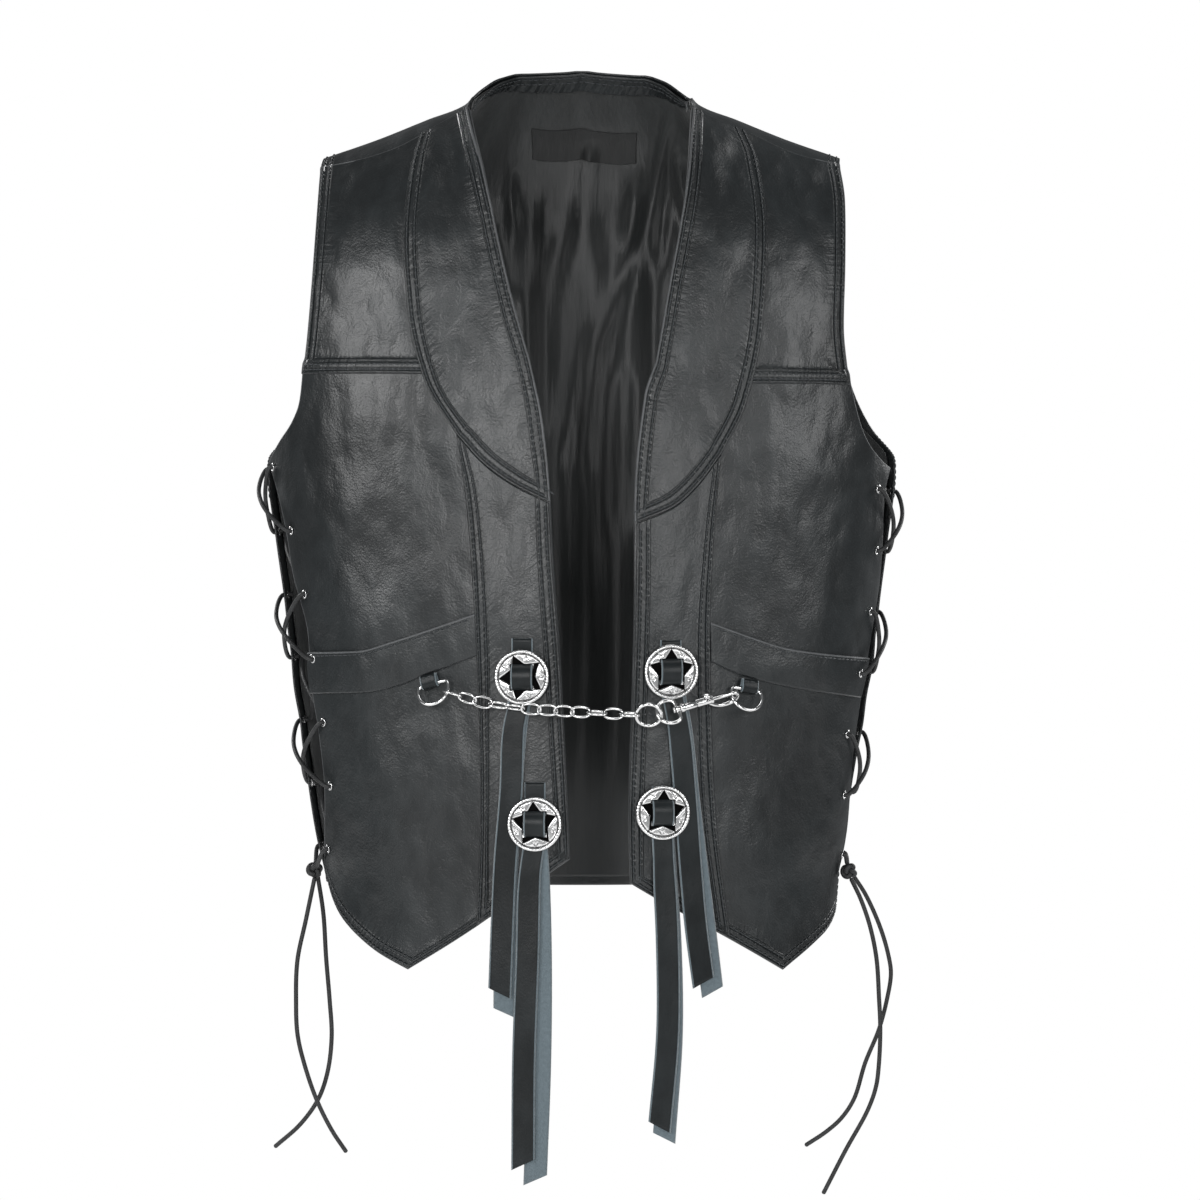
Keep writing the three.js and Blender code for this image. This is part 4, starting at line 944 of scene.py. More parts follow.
def leather_material(name, settings, base, light, grain=1.0, shine=0.45):
    """Smooth top grain: fine pebbling, broad creases, worn highs and a pale cut rim."""
    tree = Tree(name)
    tone = tree.noise(9, 4)
    broad = tree.noise(17, 2, 0.5, (1.3, 1, 0.8))
    creases = tree.noise(70, 3, 0.5, (1.25, 1, 0.8))
    fine = tree.noise(520, 3, 0.6)
    pebble = tree.cells(680)
    rim = tree.between(tree.value("rim"), 0.35, 0.9)
    shade = tree.mix(tree.between(tone + creases * 0.4, 0.5, 0.95), base, light)
    edge_tone = tree.mix(tree.noise(160), settings.edge_colour, times(settings.edge_colour, 0.45))
    height = broad * 6.4 + creases * 0.85 + pebble * 0.1 + fine * 0.12 + puckers(tree) * 0.9
    normal = tree.bump(height + seam_height(tree, settings), 0.001 * grain, 1.0)
    roughness = settings.leather_roughness + creases * 0.16 + rim * 0.3
    return tree.dress(Base_Color=tree.mix(rim, shade, edge_tone), Roughness=roughness, Normal=normal,
                      Specular_IOR_Level=shine, Coat_Weight=0.08, Coat_Roughness=0.3)


def suede_material(name, face, fibre):
    """Napped suede: soft fibres in two tones."""
    tree = Tree(name)
    nap = tree.noise(420, 5, 0.7)
    return tree.dress(Base_Color=tree.mix(nap, face, fibre), Roughness=0.85 + nap * 0.1,
                      Normal=tree.bump(nap, 0.0006), Specular_IOR_Level=0.2, Sheen_Weight=0.4)


def satin_material(name, base, roughness, shine):
    """Satin weave: fine ribs across, long soft slubs, a wide sheen."""
    tree = Tree(name)
    ribs = tree.add("ShaderNodeTexWave", {"bands_direction": "Z"}, {
        "Vector": tree.place(), "Scale": 800.0, "Distortion": 1.5, "Detail": 1.0})
    slub = tree.noise(70, 3, 0.5, (3, 3, 0.3))
    tone = tree.noise(14, 3, 0.5, (2.5, 2.5, 0.4))
    shade = tree.mix(tree.between(tone, 0.3, 0.75), tuple(base), times(base, 1.7))
    return tree.dress(Base_Color=shade, Roughness=roughness + slub * 0.14, Specular_IOR_Level=shine,
                      Normal=tree.bump(ribs * 0.04 + slub * 0.8, 0.0006), Sheen_Weight=0.15)


def metal_material(name, base, roughness, sunk=None):
    """Polished metal with faint wear; where a recess shade colour is given, the recess value darkens what
    lies low towards it as painted shade, and makes it rougher.
    """
    tree = Tree(name)
    smear = tree.noise(260, 4)
    scratch = tree.noise(1500, 2, 0.6, (1, 1, 0.15))
    shade = tree.mix(tree.between(smear, 0.4, 0.8), base, times(base, 0.86))
    rough = roughness + smear * 0.08
    if sunk:
        # Painted shade: the recesses are turned towards the near-black colour and made rougher.
        low = tree.between(tree.value("sunk") + smear * 0.15, 0.3, 0.8)
        shade, rough = tree.mix(low, shade, sunk), rough + low * 0.3
    return tree.dress(Base_Color=shade, Metallic=1.0, Roughness=rough, Normal=tree.bump(scratch, 0.000012))


def thread_material(settings):
    """Twisted black thread: slanting plies."""
    tree = Tree("stitch_thread")
    twist = tree.add("ShaderNodeTexWave", {"bands_direction": "DIAGONAL"}, {
        "Vector": tree.place(), "Scale": 900.0, "Distortion": 0.6})
    shade = tree.mix(twist, settings.thread_colour, times(settings.thread_colour, 1.8))
    return tree.dress(Base_Color=shade, Roughness=0.45 + twist * 0.1, Normal=tree.bump(twist, 0.0002))


def lace_material(settings):
    """Round leather lace: dull black, with lengthways wrinkles and worn tops."""
    tree = Tree("lace_leather")
    wrinkle = tree.noise(520, 4, 0.6)
    tone = tree.noise(60, 3)
    shade = tree.mix(tree.between(tone, 0.35, 0.75), settings.lace_colour, times(settings.lace_colour, 2.2))
    return tree.dress(Base_Color=shade, Roughness=0.5 + wrinkle * 0.2, Normal=tree.bump(wrinkle, 0.0005))


_materials = {}


def material(name, make):
    """The material of that name, made once."""
    if name not in _materials:
        _materials[name] = make()
    return _materials[name]


def panel_leather():
    """The leather of the panels."""
    settings = bpy.context.scene.vest
    return material("leather", lambda: leather_material(
        "black_leather", settings, settings.leather_colour, settings.leather_light))


def thong_leather():
    """The duller leather of the thongs and tabs."""
    settings = bpy.context.scene.vest
    return material("thong", lambda: leather_material(
        "thong_leather", settings, settings.leather_colour, settings.leather_light, 0.5, 0.16))


def suede():
    """The flesh side of the thongs."""
    build = lambda: suede_material("thong_suede", (0.06, 0.078, 0.088), (0.13, 0.165, 0.185))
    return material("suede", build)


def satin():
    """The satin of the lining."""
    return material("satin", lambda: satin_material(
        "black_satin", bpy.context.scene.vest.satin_colour, 0.3, 0.4))


def patch_satin():
    """The darker satin of the neck patch."""
    settings = bpy.context.scene.vest
    return material("patch", lambda: satin_material(
        "patch_satin", times(settings.satin_colour, 0.45), 0.42, 0.3))


def chrome():
    """The polished metal."""
    settings = bpy.context.scene.vest
    build = lambda: metal_material("chrome", settings.chrome_colour, settings.chrome_roughness)
    return material("chrome", build)


def concho_metal():
    """The polished metal, with near-black painted shade in the concho's recessed star, moat, nicks and slots.
    """
    settings = bpy.context.scene.vest
    # The near-black colour is the painted shade and dark reflection of the concho's recesses.
    return material("concho", lambda: metal_material(
        "concho_metal", settings.chrome_colour, settings.chrome_roughness + 0.05, (0.003, 0.0029, 0.0029)))


def thread():
    """The stitching thread."""
    return material("thread", lambda: thread_material(bpy.context.scene.vest))


def lace():
    """The leather of the side laces."""
    return material("lace", lambda: lace_material(bpy.context.scene.vest))


# ---- Stitching ----

def stitch_part(length, radius):
    """One stitch: a short tube whose ends dip to the leather, six sides round."""
    t = np.linspace(-1, 1, 5)
    points = np.stack([t * length / 2, np.zeros(5), 0.35 * (1 - t**4) - 0.25], -1)
    return tube_parts(points, radius * (1 - 0.25 * t**2), 5)


def stitch_rows(name, lines):
    """A piece that holds a stitch for each pitch along each line of points and directions."""
    settings = bpy.context.scene.vest
    pitch = settings.stitch_pitch / MM
    part = stitch_part(pitch * 0.74, settings.thread_radius / MM)
    centres, x_axes, z_axes = [], [], []
    for points, normals in lines:
        length = lengths(points)
        at = np.arange(pitch / 2, length[-1], pitch)
        centres.append(read_at(at, length, points))
        x_axes.append(read_at(at + 1, length, points) - read_at(at - 1, length, points))
        z_axes.append(read_at(at, length, normals))
    centres, z_axes = np.concatenate(centres), np.concatenate(z_axes)
    x_axes = unit(np.concatenate(x_axes))
    z_axes = unit(z_axes - x_axes * (z_axes * x_axes).sum(-1, keepdims=True))
    obj = new_object(name, *copies(part, centres, x_axes, np.cross(z_axes, x_axes), z_axes))
    return finish_piece(obj, thread())


def declare_sheet(sheet):
    """Works out the flat cut of a piece from its grid, its longest lines each way and its area, and keeps
    none of it.
    """
    width = float(sheet.reach(1)[:, -1].max()) * MM
    length = float(sheet.reach(0)[-1].max()) * MM
    area = min(sheet.flat_area() * MM * MM, width * length)


# ---- Fronts ----

def held_short(curve):
    """The front's side edge, kept short of the form's widest line."""
    def place(t):
        at = curve(t)
        turn = np.sign(at[..., 0]) * np.minimum(np.abs(at[..., 0]), FLANK_LIMIT)
        return np.stack([turn, at[..., 1]], -1)
    return place


def front_patches(front):
    """The patches of one front: yoke, panel, lapel, placket and welt."""
    hem = joined(edge(front["hem_inner"]), edge(front["hem_outer"]), front["hem_point"])
    opening, neck = edge(front["opening"]), edge(front["neck"])
    outer = joined(held_short(edge(front["flank"])), edge(front["underarm"], -SEAM_EASE), FLANK_SHARE)
    lapel_outer = joined(edge(front["lapel_low"]), edge(front["lapel_high"]), LAPEL_LOW_SHARE)
    lapel_inner = joined(stretch(opening, front["lapel_foot"], 1), neck, LAPEL_FOOT_SHARE)
    tip = lambda t: lapel_inner(0.0) + (lapel_outer(0.0) - lapel_inner(0.0)) * np.asarray(t)[..., None]
    lapel_top = stretch(edge(front["shoulder"], -1.2), 0, front["lapel_shoulder"])
    reach = abs(front["placket"][0][0])
    placket_hem = edge([point for point in front["hem_inner"] if abs(point[0]) <= reach])
    return {
        "yoke": sided(front, neck, edge(front["armhole"]), edge(front["yoke"], -YOKE_LAP),
                      edge(front["shoulder"], -SEAM_EASE)),
        "panel": sided(front, opening, outer, hem, edge(front["yoke"], -SEAM_EASE)),
        "lapel": sided(front, lapel_inner, lapel_outer, tip, lapel_top),
        "placket": sided(front, stretch(opening, 0, front["lapel_foot"] - 0.012),
                         edge(front["placket"], -PLACKET_EASE), placket_hem,
                         edge(front["lapel_low"], -PLACKET_EASE)),
        "welt": sided(front, edge([front["welt_bottom"][0], front["welt_top"][0]]),
                      edge([front["welt_bottom"][4], front["welt_top"][4]]),
                      edge(front["welt_bottom"]), edge(front["welt_top"])),
    }


def sides_of(front):
    """The names of the patch's edges towards the opening and towards the arm."""
    return ("left", "right") if front["sign"] > 0 else ("right", "left")


class VEST_OT_fronts(bpy.types.Operator):
    """Builds the yokes, front panels, lapels, plackets and pocket welts with their stitching"""
    bl_idname = "vest.fronts"
    bl_label = "Fronts"

    def execute(self, context):
        settings = context.scene.vest
        for name, front in FRONTS.items():
            self.build(name, front, settings)
        return {"FINISHED"}

    def build(self, name, front, settings):
        """One front, from the yoke down to the welt."""
        patches = front_patches(front)
        inner, outer = sides_of(front)
        point = front["hem_point"] if front["sign"] > 0 else 1 - front["hem_point"]
        rows = seam_rows(settings)
        top = LEATHER + STITCH_LIFT

        yoke = Sheet(patches["yoke"], steps_with_margins(48), steps_with_margins(90), front_relief)
        lap = (LEATHER + 0.1) * (1 - ramp(yoke.from_edge("bottom"), 6.3, 12))
        ridge_lap = 0.7 * (1 - ramp(yoke.from_edge("top"), 0, 7))
        obj = yoke.wall(f"{name}_yoke", 0, LEATHER, (outer, "bottom"), ("top", outer), lift=lap + ridge_lap)
        finish_piece(obj, panel_leather(), [f"{name}_front_yoke"])
        declare_sheet(yoke)

        panel = Sheet(patches["panel"], steps_with_margins(60, (point,)),
                      steps_with_margins(110, (FLANK_SHARE,)), front_relief)
        obj = panel.wall(f"{name}_front", 0, LEATHER, ("bottom",), (outer,))
        finish_piece(obj, panel_leather(), [f"{name}_front_panel"])
        declare_sheet(panel)

        lapel = Sheet(patches["lapel"], steps_with_margins(30, margin=0.012),
                      steps_with_margins(110, (LAPEL_LOW_SHARE, LAPEL_FOOT_SHARE)), front_relief)
        obj = lapel.wall(f"{name}_lapel_fold", LAP, LAP + LEATHER, (inner, outer), (inner,))
        finish_piece(obj, panel_leather(), [f"{name}_lapel"])
        declare_sheet(lapel)

        placket = Sheet(patches["placket"], steps_with_margins(26, margin=0.02), steps_with_margins(100),
                        front_relief)
        obj = placket.wall(f"{name}_placket_strip", LAP, LAP + LEATHER, (inner, outer, "bottom"))
        finish_piece(obj, panel_leather(), [f"{name}_placket"])
        declare_sheet(placket)

        welt = Sheet(patches["welt"], steps_with_margins(60), steps_with_margins(14, margin=0.04),
                     front_relief)
        crown = 0.5 * np.sin(np.clip(welt.from_edge("bottom") / 28, 0, 1) * np.pi)
        obj = welt.wall(f"{name}_welt", LAP + GAP, LAP + WELT_DEPTH, (), ("top",), lift=crown)
        finish_piece(obj, panel_leather(), [f"{name}_pocket_welt"])
        declare_sheet(welt)

        lap = [yoke.line("bottom", row, 2, 3, top + LEATHER) for row in (rows[0], 6.2)]
        arm = [yoke.line(outer, row, 1, 2, top) for row in rows]
        hem = [panel.line("bottom", row, 60 if front["sign"] > 0 else 4, 4 if front["sign"] > 0 else 60, top)
               for row in rows]
        over = LAP + LEATHER + STITCH_LIFT
        folds = [lapel.line(side, row, 6, 1, over) for row in rows for side in (inner, outer)]
        strips = [placket.line(side, row, 4, 4, over) for row in rows for side in (inner, outer)]
        strips += [placket.line("bottom", row, 6, 6, over) for row in rows]
        welts = [welt.line("top", 2.0, 3, 3, LAP + WELT_DEPTH + 0.35)]
        stitch_rows(f"{name}_front_stitching", lap + arm + hem + folds + strips + welts)


# ---- Back ----

def back_place():
    """The back's patch: flank and armhole edges at the sides, hem below, seams and neck above."""
    shares = np.asarray([x for x, _ in BACK_ARMHOLE]) / HALF_WIDTH
    turns = np.arcsin(shares ** (SECTION_POWER / 2)) * 2 / np.pi
    drops = [s for _, s in BACK_ARMHOLE]

    def armhole(sign, front):
        tip = locate(front["shoulder"][4][0], front["shoulder"][4][1] + 0.2)
        steps = np.arange(len(turns) + 1)
        a, s = [*turns, abs(tip[0])], [*drops, tip[1]]
        at = np.linspace(0, len(turns), 301)
        return sampled(np.stack([sign * smooth(steps, a, at), smooth(steps, s, at)], -1))

    def flank(sign):
        low = locate(sign * smooth(FORM["z"], FORM["width"], -540.0), -540.0, -1)
        t = np.linspace(0, 1, 301)
        return sampled(np.stack([np.full(301, sign * 0.9999), low[1] + (drops[0] - low[1]) * t], -1))

    t = np.linspace(0, 1, 601)
    a = 0.9999 * (1 - 2 * t)
    z = smooth(BACK_HEM["a"], BACK_HEM["z"], a)
    x = smooth(FORM["z"], FORM["width"], z) * across(a)
    hem = sampled(np.stack([a, locate(x, z, -1)[..., 1]], -1))
    points = np.asarray(BACK_NECK, float)
    at_back = locate(points[:, 0], points[:, 1], -1)
    at_back[[0, -1]] = locate(points[[0, -1], 0], points[[0, -1], 1], 1)
    neck = sampled(spline(at_back * (HALF_WIDTH, 1), 40) / (HALF_WIDTH, 1))
    seam = lambda front: edge(front["shoulder"], 0.2)
    top = joined(joined(backwards(seam(FRONTS["right"])), neck, 0.5), seam(FRONTS["left"]), 1 - SEAM_SHARE)
    right = joined(flank(1), armhole(1, FRONTS["right"]), UNDERARM_SHARE)
    left = joined(flank(-1), armhole(-1, FRONTS["left"]), UNDERARM_SHARE)
    return patch(right, left, hem, top)


class VEST_OT_back(bpy.types.Operator):
    """Builds the back panel, its lining, the neck facing and the neck patch"""
    bl_idname = "vest.back"
    bl_label = "Back and lining"

    def execute(self, context):
        settings = context.scene.vest
        place = back_place()
        rows = seam_rows(settings)
        stops = (SEAM_SHARE, 1 - SEAM_SHARE)
        u, v = steps_with_margins(150, stops, 0.003), steps_with_margins(120, (UNDERARM_SHARE,), 0.004)
        back = Sheet(place, u, v, back_relief)
        obj = back.wall("back", 0, LEATHER, ("bottom", "left", "right"), raw=False)
        finish_piece(obj, panel_leather(), ["back_panel"])
        declare_sheet(back)

        lines = [back.line("bottom", row, 4, 4, LEATHER + STITCH_LIFT) for row in rows]
        for side in ("left", "right"):
            for points, normals in [back.line(side, row, 6, 3, LEATHER + STITCH_LIFT) for row in rows]:
                armhole = points[:, 2] > ARMHOLE_FOOT
                lines.append((points[armhole], normals[armhole]))
        stitch_rows("back_stitching", lines)

        def lining_relief(x, z):
            slack = 5.6 * ramp(-z, -30, 12) * (1 - ramp(-z, 330, 420)) * (1 - ramp(np.abs(x), 105, 150))
            folds = lining_fold(x, z) + lining_creases(x, z) - slack
            return back_relief(x, z) + np.minimum(folds, -0.05 * slack)

        inner = lambda uu, vv: place(1 / 24 + uu * 22 / 24, 0.011 + vv * (0.988 - 0.011))
        lining = Sheet(inner, steps_with_margins(150), steps_with_margins(120), lining_relief)
        obj = lining.wall("satin_lining", -LAYER_GAP - SATIN, -LAYER_GAP)
        finish_piece(obj, satin(), ["back_lining"])
        declare_sheet(lining)

        under = -2 * LAYER_GAP - SATIN - 0.2
        band = lambda uu, vv: place(SEAM_SHARE + uu * SEAM_SHARE, 0.965 + vv * 0.035)
        facing = Sheet(band, steps_with_margins(220), steps_with_margins(18, margin=0.03), back_relief)
        gathers = np.sin(facing.reach(1) / 1.25 + np.sin(facing.reach(1) / 7) * 2)
        gathers = 0.55 * gathers * (1 - ramp(facing.from_edge("bottom"), 2, 13))
        obj = facing.wall("neck_facing", under - LEATHER, under, lift=gathers, raw=False)
        finish_piece(obj, panel_leather(), ["back_neck_facing"])
        declare_sheet(facing)
        lines = [facing.line("top", row, 3, 3, under - LEATHER - STITCH_LIFT) for row in (2.2, 6.5)]
        stitch_rows("neck_facing_stitching", [(points, -normals) for points, normals in lines])

        label = lambda uu, vv: place(0.458 + uu * 0.084, 0.8912 + vv * 0.0198)
        bit = Sheet(label, steps_with_margins(30), steps_with_margins(14), lining_relief)
        obj = bit.wall("neck_patch", under - SATIN, under)
        finish_piece(obj, patch_satin(), ["lining_neck_patch"])
        declare_sheet(bit)
        return {"FINISHED"}


# ---- Conchos and thongs ----

def star_distance(x, y, outer, inner):
    """How far inside a five-pointed star a point lies: over 0 inside, by the distance to the
    nearest of its edges, with the star's first point up."""
    angle = np.mod(np.arctan2(x, y), 2 * np.pi / 5)
    angle = np.abs(angle - np.round(angle / (2 * np.pi / 5)) * 2 * np.pi / 5)
    radius = np.hypot(x, y)
    px, py = radius * np.sin(angle), radius * np.cos(angle)
    tip = np.array([0.0, outer])
    notch = inner * np.array([np.sin(np.pi / 5), np.cos(np.pi / 5)])
    along = (notch - tip) / np.linalg.norm(notch - tip)
    return along[1] * px - along[0] * (py - outer)


def concho_parts(turn):
    """A cast concho on a polar grid: a roped rim, a flat with nicks, a recessed star and two slots
    each side of the bridge. The height is worked out at every radius and angle, with a value that marks the
    star, moat, nicks and slots for painted shade."""
    r = CONCHO_RADIUS
    radius = np.concatenate([np.linspace(0, r - 3.2, 46), np.linspace(r - 3.1, r, 22)[1:]])
    angle = np.linspace(0, 2 * np.pi, 240, endpoint=False)
    rr, aa = np.meshgrid(radius[1:], angle, indexing="ij")
    x, y = rr * np.cos(aa), rr * np.sin(aa)
    c, s = np.cos(np.radians(-turn)), np.sin(np.radians(-turn))
    sx, sy = x * c - y * s, x * s + y * c
    inside = star_distance(sx, sy, r - 3.1, 9.0)
    star = ramp(inside, -0.35, 0.25)
    lip = np.exp(-(((inside + 0.9) / 0.6) ** 2))
    petal = 0.45 * np.sin(np.clip(-inside / 6.5, 0, 1) * np.pi) * (rr < r - 2.6)
    rope = np.clip(1 - ((rr - (r - 1.15)) / 1.15) ** 2, 0, 1) ** 0.5
    twist = 0.9 + 0.1 * np.cos(aa * 52 + (rr - r) * 2.2)
    moat = np.exp(-(((rr - (r - 2.75)) / 0.45) ** 2))
    spoke = np.mod(aa - np.radians(turn + 126) + np.pi / 5, 2 * np.pi / 5) - np.pi / 5
    nick = np.exp(-(((np.abs(spoke) * rr - (r - 3.4 - rr) * 0.5) / 0.42) ** 2))
    nick = nick * ramp(rr, r - 6.6, r - 6.0) * (rr < r - 3.4)
    slot = ramp(8.3 - np.abs(x), -0.3, 0.3) * ramp(1.5 - np.abs(np.abs(y) - 7.6), -0.3, 0.3)
    height = 1.5 + petal + 0.12 * lip + 1.1 * rope * twist - 0.7 * moat - 0.5 * nick - 0.8 * star - 1.2 * slot
    height = height - 0.5 * (rr / r) ** 2
    # Painted shade mask: the star, moat, nicks and slots, darkened as if shade and dark reflections fell in
    # them.
    sunk = np.clip(star + moat * 0.7 + nick * 0.6 + slot, 0, 1)
    top = np.stack([x, y, height], -1)
    rim = np.stack([(r + 0.12) * np.cos(angle), (r + 0.12) * np.sin(angle), np.full(240, 0.7)], -1)
    low = np.stack([(r - 0.8) * np.cos(angle), (r - 0.8) * np.sin(angle), np.zeros(240)], -1)
    grid = np.concatenate([top, rim[None], low[None]])
    poles = np.array([[0, 0, height[0].mean()], [0, 0, 0.2]])
    vertices = np.concatenate([grid.reshape(-1, 3), poles])
    values = np.concatenate([sunk.ravel(), np.zeros(480), [1, 0]])
    return vertices, capped_faces(len(grid), 240), values


def lay_at(x, z, out):
    """Steps of a strip on the front; below the hem it hangs straight down."""
    x, z = np.atleast_1d(x).astype(float), np.atleast_1d(z).astype(float)
    held = np.maximum(z, HEM_FALL)
    at = locate(x, held)
    normal = outward(at[:, 0], at[:, 1])
    points = bare(at[:, 0], at[:, 1]) + normal * (out + front_relief(x, held))[:, None]
    points[:, 2] = np.where(z > HEM_FALL, points[:, 2], z)
    right = unit(np.array([1.0, 0, 0]) - normal * normal[:, :1])
    return points, right


def strap_parts(points, rights, width, thickness, slant, curl=0.0):
    """A flat strap: a flattened oval section carried along its route, its far end cut at a
    slant. The first half of the round faces the wearer's front."""
    route = np.concatenate([points, rights * 10], axis=1)
    both = np.concatenate([spline(route[:, :3], 14), spline(route[:, 3:], 14)], axis=1)
    length = lengths(both[:, :3])
    at = np.linspace(0, length[-1], int(length[-1] / 2.2) + 2)
    both = read_at(at, length, both)
    line, right = both[:, :3], both[:, 3:]
    along = unit(np.gradient(line, axis=0))
    right = unit(right - along * (right * along).sum(-1, keepdims=True))
    out = np.cross(along, right)
    share = at / length[-1]
    half = np.broadcast_to(width(share) if callable(width) else width, share.shape) / 2
    t = np.linspace(-1, 1, 13)
    flat = np.sign(t) * np.abs(t) ** 0.85
    edge_round = (1 - np.abs(t) ** 10) ** 0.5
    sag = curl * (t**2 - 0.3)
    upper = np.stack([flat, sag + thickness / 2 * edge_round], -1)
    lower = np.stack([flat, sag - thickness / 2 * edge_round], -1)[-2:0:-1]
    section = np.concatenate([upper, lower])
    grid = (line[:, None] + right[:, None] * (section[None, :, :1] * half[:, None, None])
            + out[:, None] * section[None, :, 1:])
    cut = -slant * section[:, 0] / 2
    grid[-1] += along[-1] * cut[:, None]
    grid[-2] += along[-2] * cut[:, None] * 0.5
    rows, columns = grid.shape[:2]
    ends = np.stack([grid[0].mean(0), grid[-1].mean(0)])
    vertices = np.concatenate([grid.reshape(-1, 3), ends])
    shown = np.zeros(columns)
    shown[13:] = 1
    shown[[0, 12]] = 0.75
    values = np.concatenate([np.tile(shown, rows), [1, 1]])
    return vertices, capped_faces(rows, columns), values, (2 * half.max(), length[-1])


def strap_piece(name, parts, nodes, napped=False):
    """A strap whose back and cut edges are suede, or all of it where its flesh side shows."""
    vertices, faces, values, (width, length) = parts
    obj = new_object(name, vertices, faces)
    add_values(obj, "rim", np.zeros(len(values)))
    add_values(obj, "seam", np.full(len(values), 60.0))
    add_values(obj, "along", np.zeros(len(values)))
    finish_piece(obj, [thong_leather(), suede()], nodes)
    corners = np.empty(len(obj.data.loops), int)
    obj.data.loops.foreach_get("vertex_index", corners)
    starts = np.empty(len(obj.data.polygons), int)
    obj.data.polygons.foreach_get("loop_start", starts)
    back = (np.maximum.reduceat(values[corners], starts) > 0.6) | napped
    obj.data.polygons.foreach_set("material_index", back.astype(int))
    width * MM
    length * MM
    return obj


class VEST_OT_conchos(bpy.types.Operator):
    """Builds the four conchos and the thongs threaded through them"""
    bl_idname = "vest.conchos"
    bl_label = "Conchos and thongs"

    def execute(self, context):
        for name, (x, z, turn, loop) in CONCHOS.items():
            self.build(name, x, z, turn, loop)
        return {"FINISHED"}

    def build(self, name, x, z, turn, loop):
        """One concho with its thong and its under layer."""
        surface = LAP + LEATHER
        relief = float(front_relief(np.array(x), np.array(z)))
        place = frame_at(x, z, surface + CONCHO_STANDOFF + relief)
        vertices, faces, values = concho_parts(turn)
        obj = new_object(f"{name}_concho", *moved((vertices, faces), place))
        add_values(obj, "sunk", values)
        finish_piece(obj, concho_metal(), [f"concho_{name}"])

        tails = TAILS[name]
        up = np.array([loop, loop - 5, 14])
        above = lay_at(np.full(3, x), z + up, surface + 0.95)
        bridge = np.column_stack([np.zeros(9), BRIDGE_ROUTE]) @ place[:3, :3].T + place[:3, 3]
        rights = np.repeat(place[:3, 0][None], 9, 0)
        front = np.array(tails["front"], float)
        hanging = lay_at(front[:, 0], front[:, 1], surface + CONCHO_STANDOFF - 0.9)
        points = np.concatenate([above[0], bridge, hanging[0]])
        sides = np.concatenate([above[1], rights, hanging[1]])
        widen = lambda share: THONG_WIDTH + 0.8 + 1.4 * ramp(share, 0.22, 0.34)
        parts = strap_parts(points, sides, widen, THONG_THICKNESS, tails["slant"], 0.25)
        strap_piece(f"{name}_thong", parts, [f"thong_{name}"])
        rear = np.array([(x, z - 5), *tails["rear"]], float)
        points, sides = lay_at(rear[:, 0], rear[:, 1], surface + CONCHO_STANDOFF - 2.9)
        parts = strap_parts(points, sides, THONG_WIDTH + 2.0, THONG_THICKNESS, tails["slant"], 0.1)
        strap_piece(f"{name}_thong_behind", parts, [f"thong_{name}_under_layer"],
                    napped=True)


# ---- Chain, rings and snap hook ----

def d_outline(radius, flat, count):
    """A D: a circle whose top is cut flat, with round corners, as x, y, 0 points."""
    angle = np.linspace(0, 2 * np.pi, count, endpoint=False)
    rise = np.maximum(np.sin(angle), 0.001)
    reach = (radius**-9 + (flat / rise) ** -9) ** (-1 / 9)
    return np.stack([reach * np.cos(angle), reach * np.sin(angle), np.zeros(count)], -1)


def ring_parts(outline, wire, sides=14):
    """A wire carried round a closed outline in its own plane."""
    return tube_parts(outline, wire, sides, closed=True, first=(0, 0, 1))


def metal_piece(name, part, nodes, body="vest"):
    """A piece of polished metal."""
    obj = new_object(name, *part)
    return finish_piece(obj, chrome(), nodes, body)


def tab_frames(side):
    """The frames of a ring tab's bar and of its ring."""
    x, z, turn, slide = TABS[side]
    bar_out = LEATHER + GAP + 1.2 + GAP + RING_WIRE + 0.6
    bar = frame_at(x, z, bar_out, turn)
    ring = bar @ shifted(slide, 0, 0) @ turned("X", RING_TILT) @ shifted(0, -RING_FLAT, 0)
    return bar, ring


def ring_point(side, angle):
    """The point of a D-ring's wire at that angle."""
    place = [RING_RADIUS * np.cos(angle), RING_RADIUS * np.sin(angle), 0, 1]
    return (tab_frames(side)[1] @ np.array(place))[:3]


def hook_frames():
    """The frames of the snap hook, the swivel eye and the chain's ring, worked out from where
    the hook holds the right ring."""
    rise, roll, tilt = np.radians([HOOK_RISE, HOOK_ROLL, LINK_TILT])
    along = unit(np.array([np.cos(rise), HOOK_REARWARD, np.sin(rise)]))
    rear = unit(np.array([0.0, 1, 0]) - along * along[1])
    down = -np.cross(along, rear)
    down = -down if down[2] > 0 else down
    bowward = down * np.cos(roll) + rear * np.sin(roll)
    contact = np.radians(HOOK_CONTACT)
    held = ring_point("right", contact)
    origin = held - along * HOOK_REACH - bowward * 3.7
    hook = basis(along, bowward, np.cross(along, bowward), origin)
    eye_side = -down * np.cos(tilt) + rear * np.sin(tilt)
    eye = basis(along, eye_side, np.cross(along, eye_side), origin)
    eye_end = origin - along * (2 + 5.8 + 9.4)
    chainward = unit(np.array([-1, 0, 0.02]))
    centre = eye_end + chainward * (O_RING_RADIUS - 1.2 - O_RING_WIRE - GAP)
    ring_x = -chainward
    upright = np.array([0, -np.sin(tilt), np.cos(tilt)])
    upright = unit(upright - ring_x * (upright @ ring_x))
    ring = basis(ring_x, upright, np.cross(ring_x, upright), centre)
    return hook, eye, ring, centre + -ring_x * O_RING_RADIUS


def rod_parts(profile, sides=28):
    """A turned rod along X from a profile of place and radius."""
    profile = np.asarray(profile, float)
    vertices, faces = lathe_parts(np.stack([profile[:, 1], profile[:, 0]], -1), sides)
    return vertices[:, [2, 0, 1]], faces


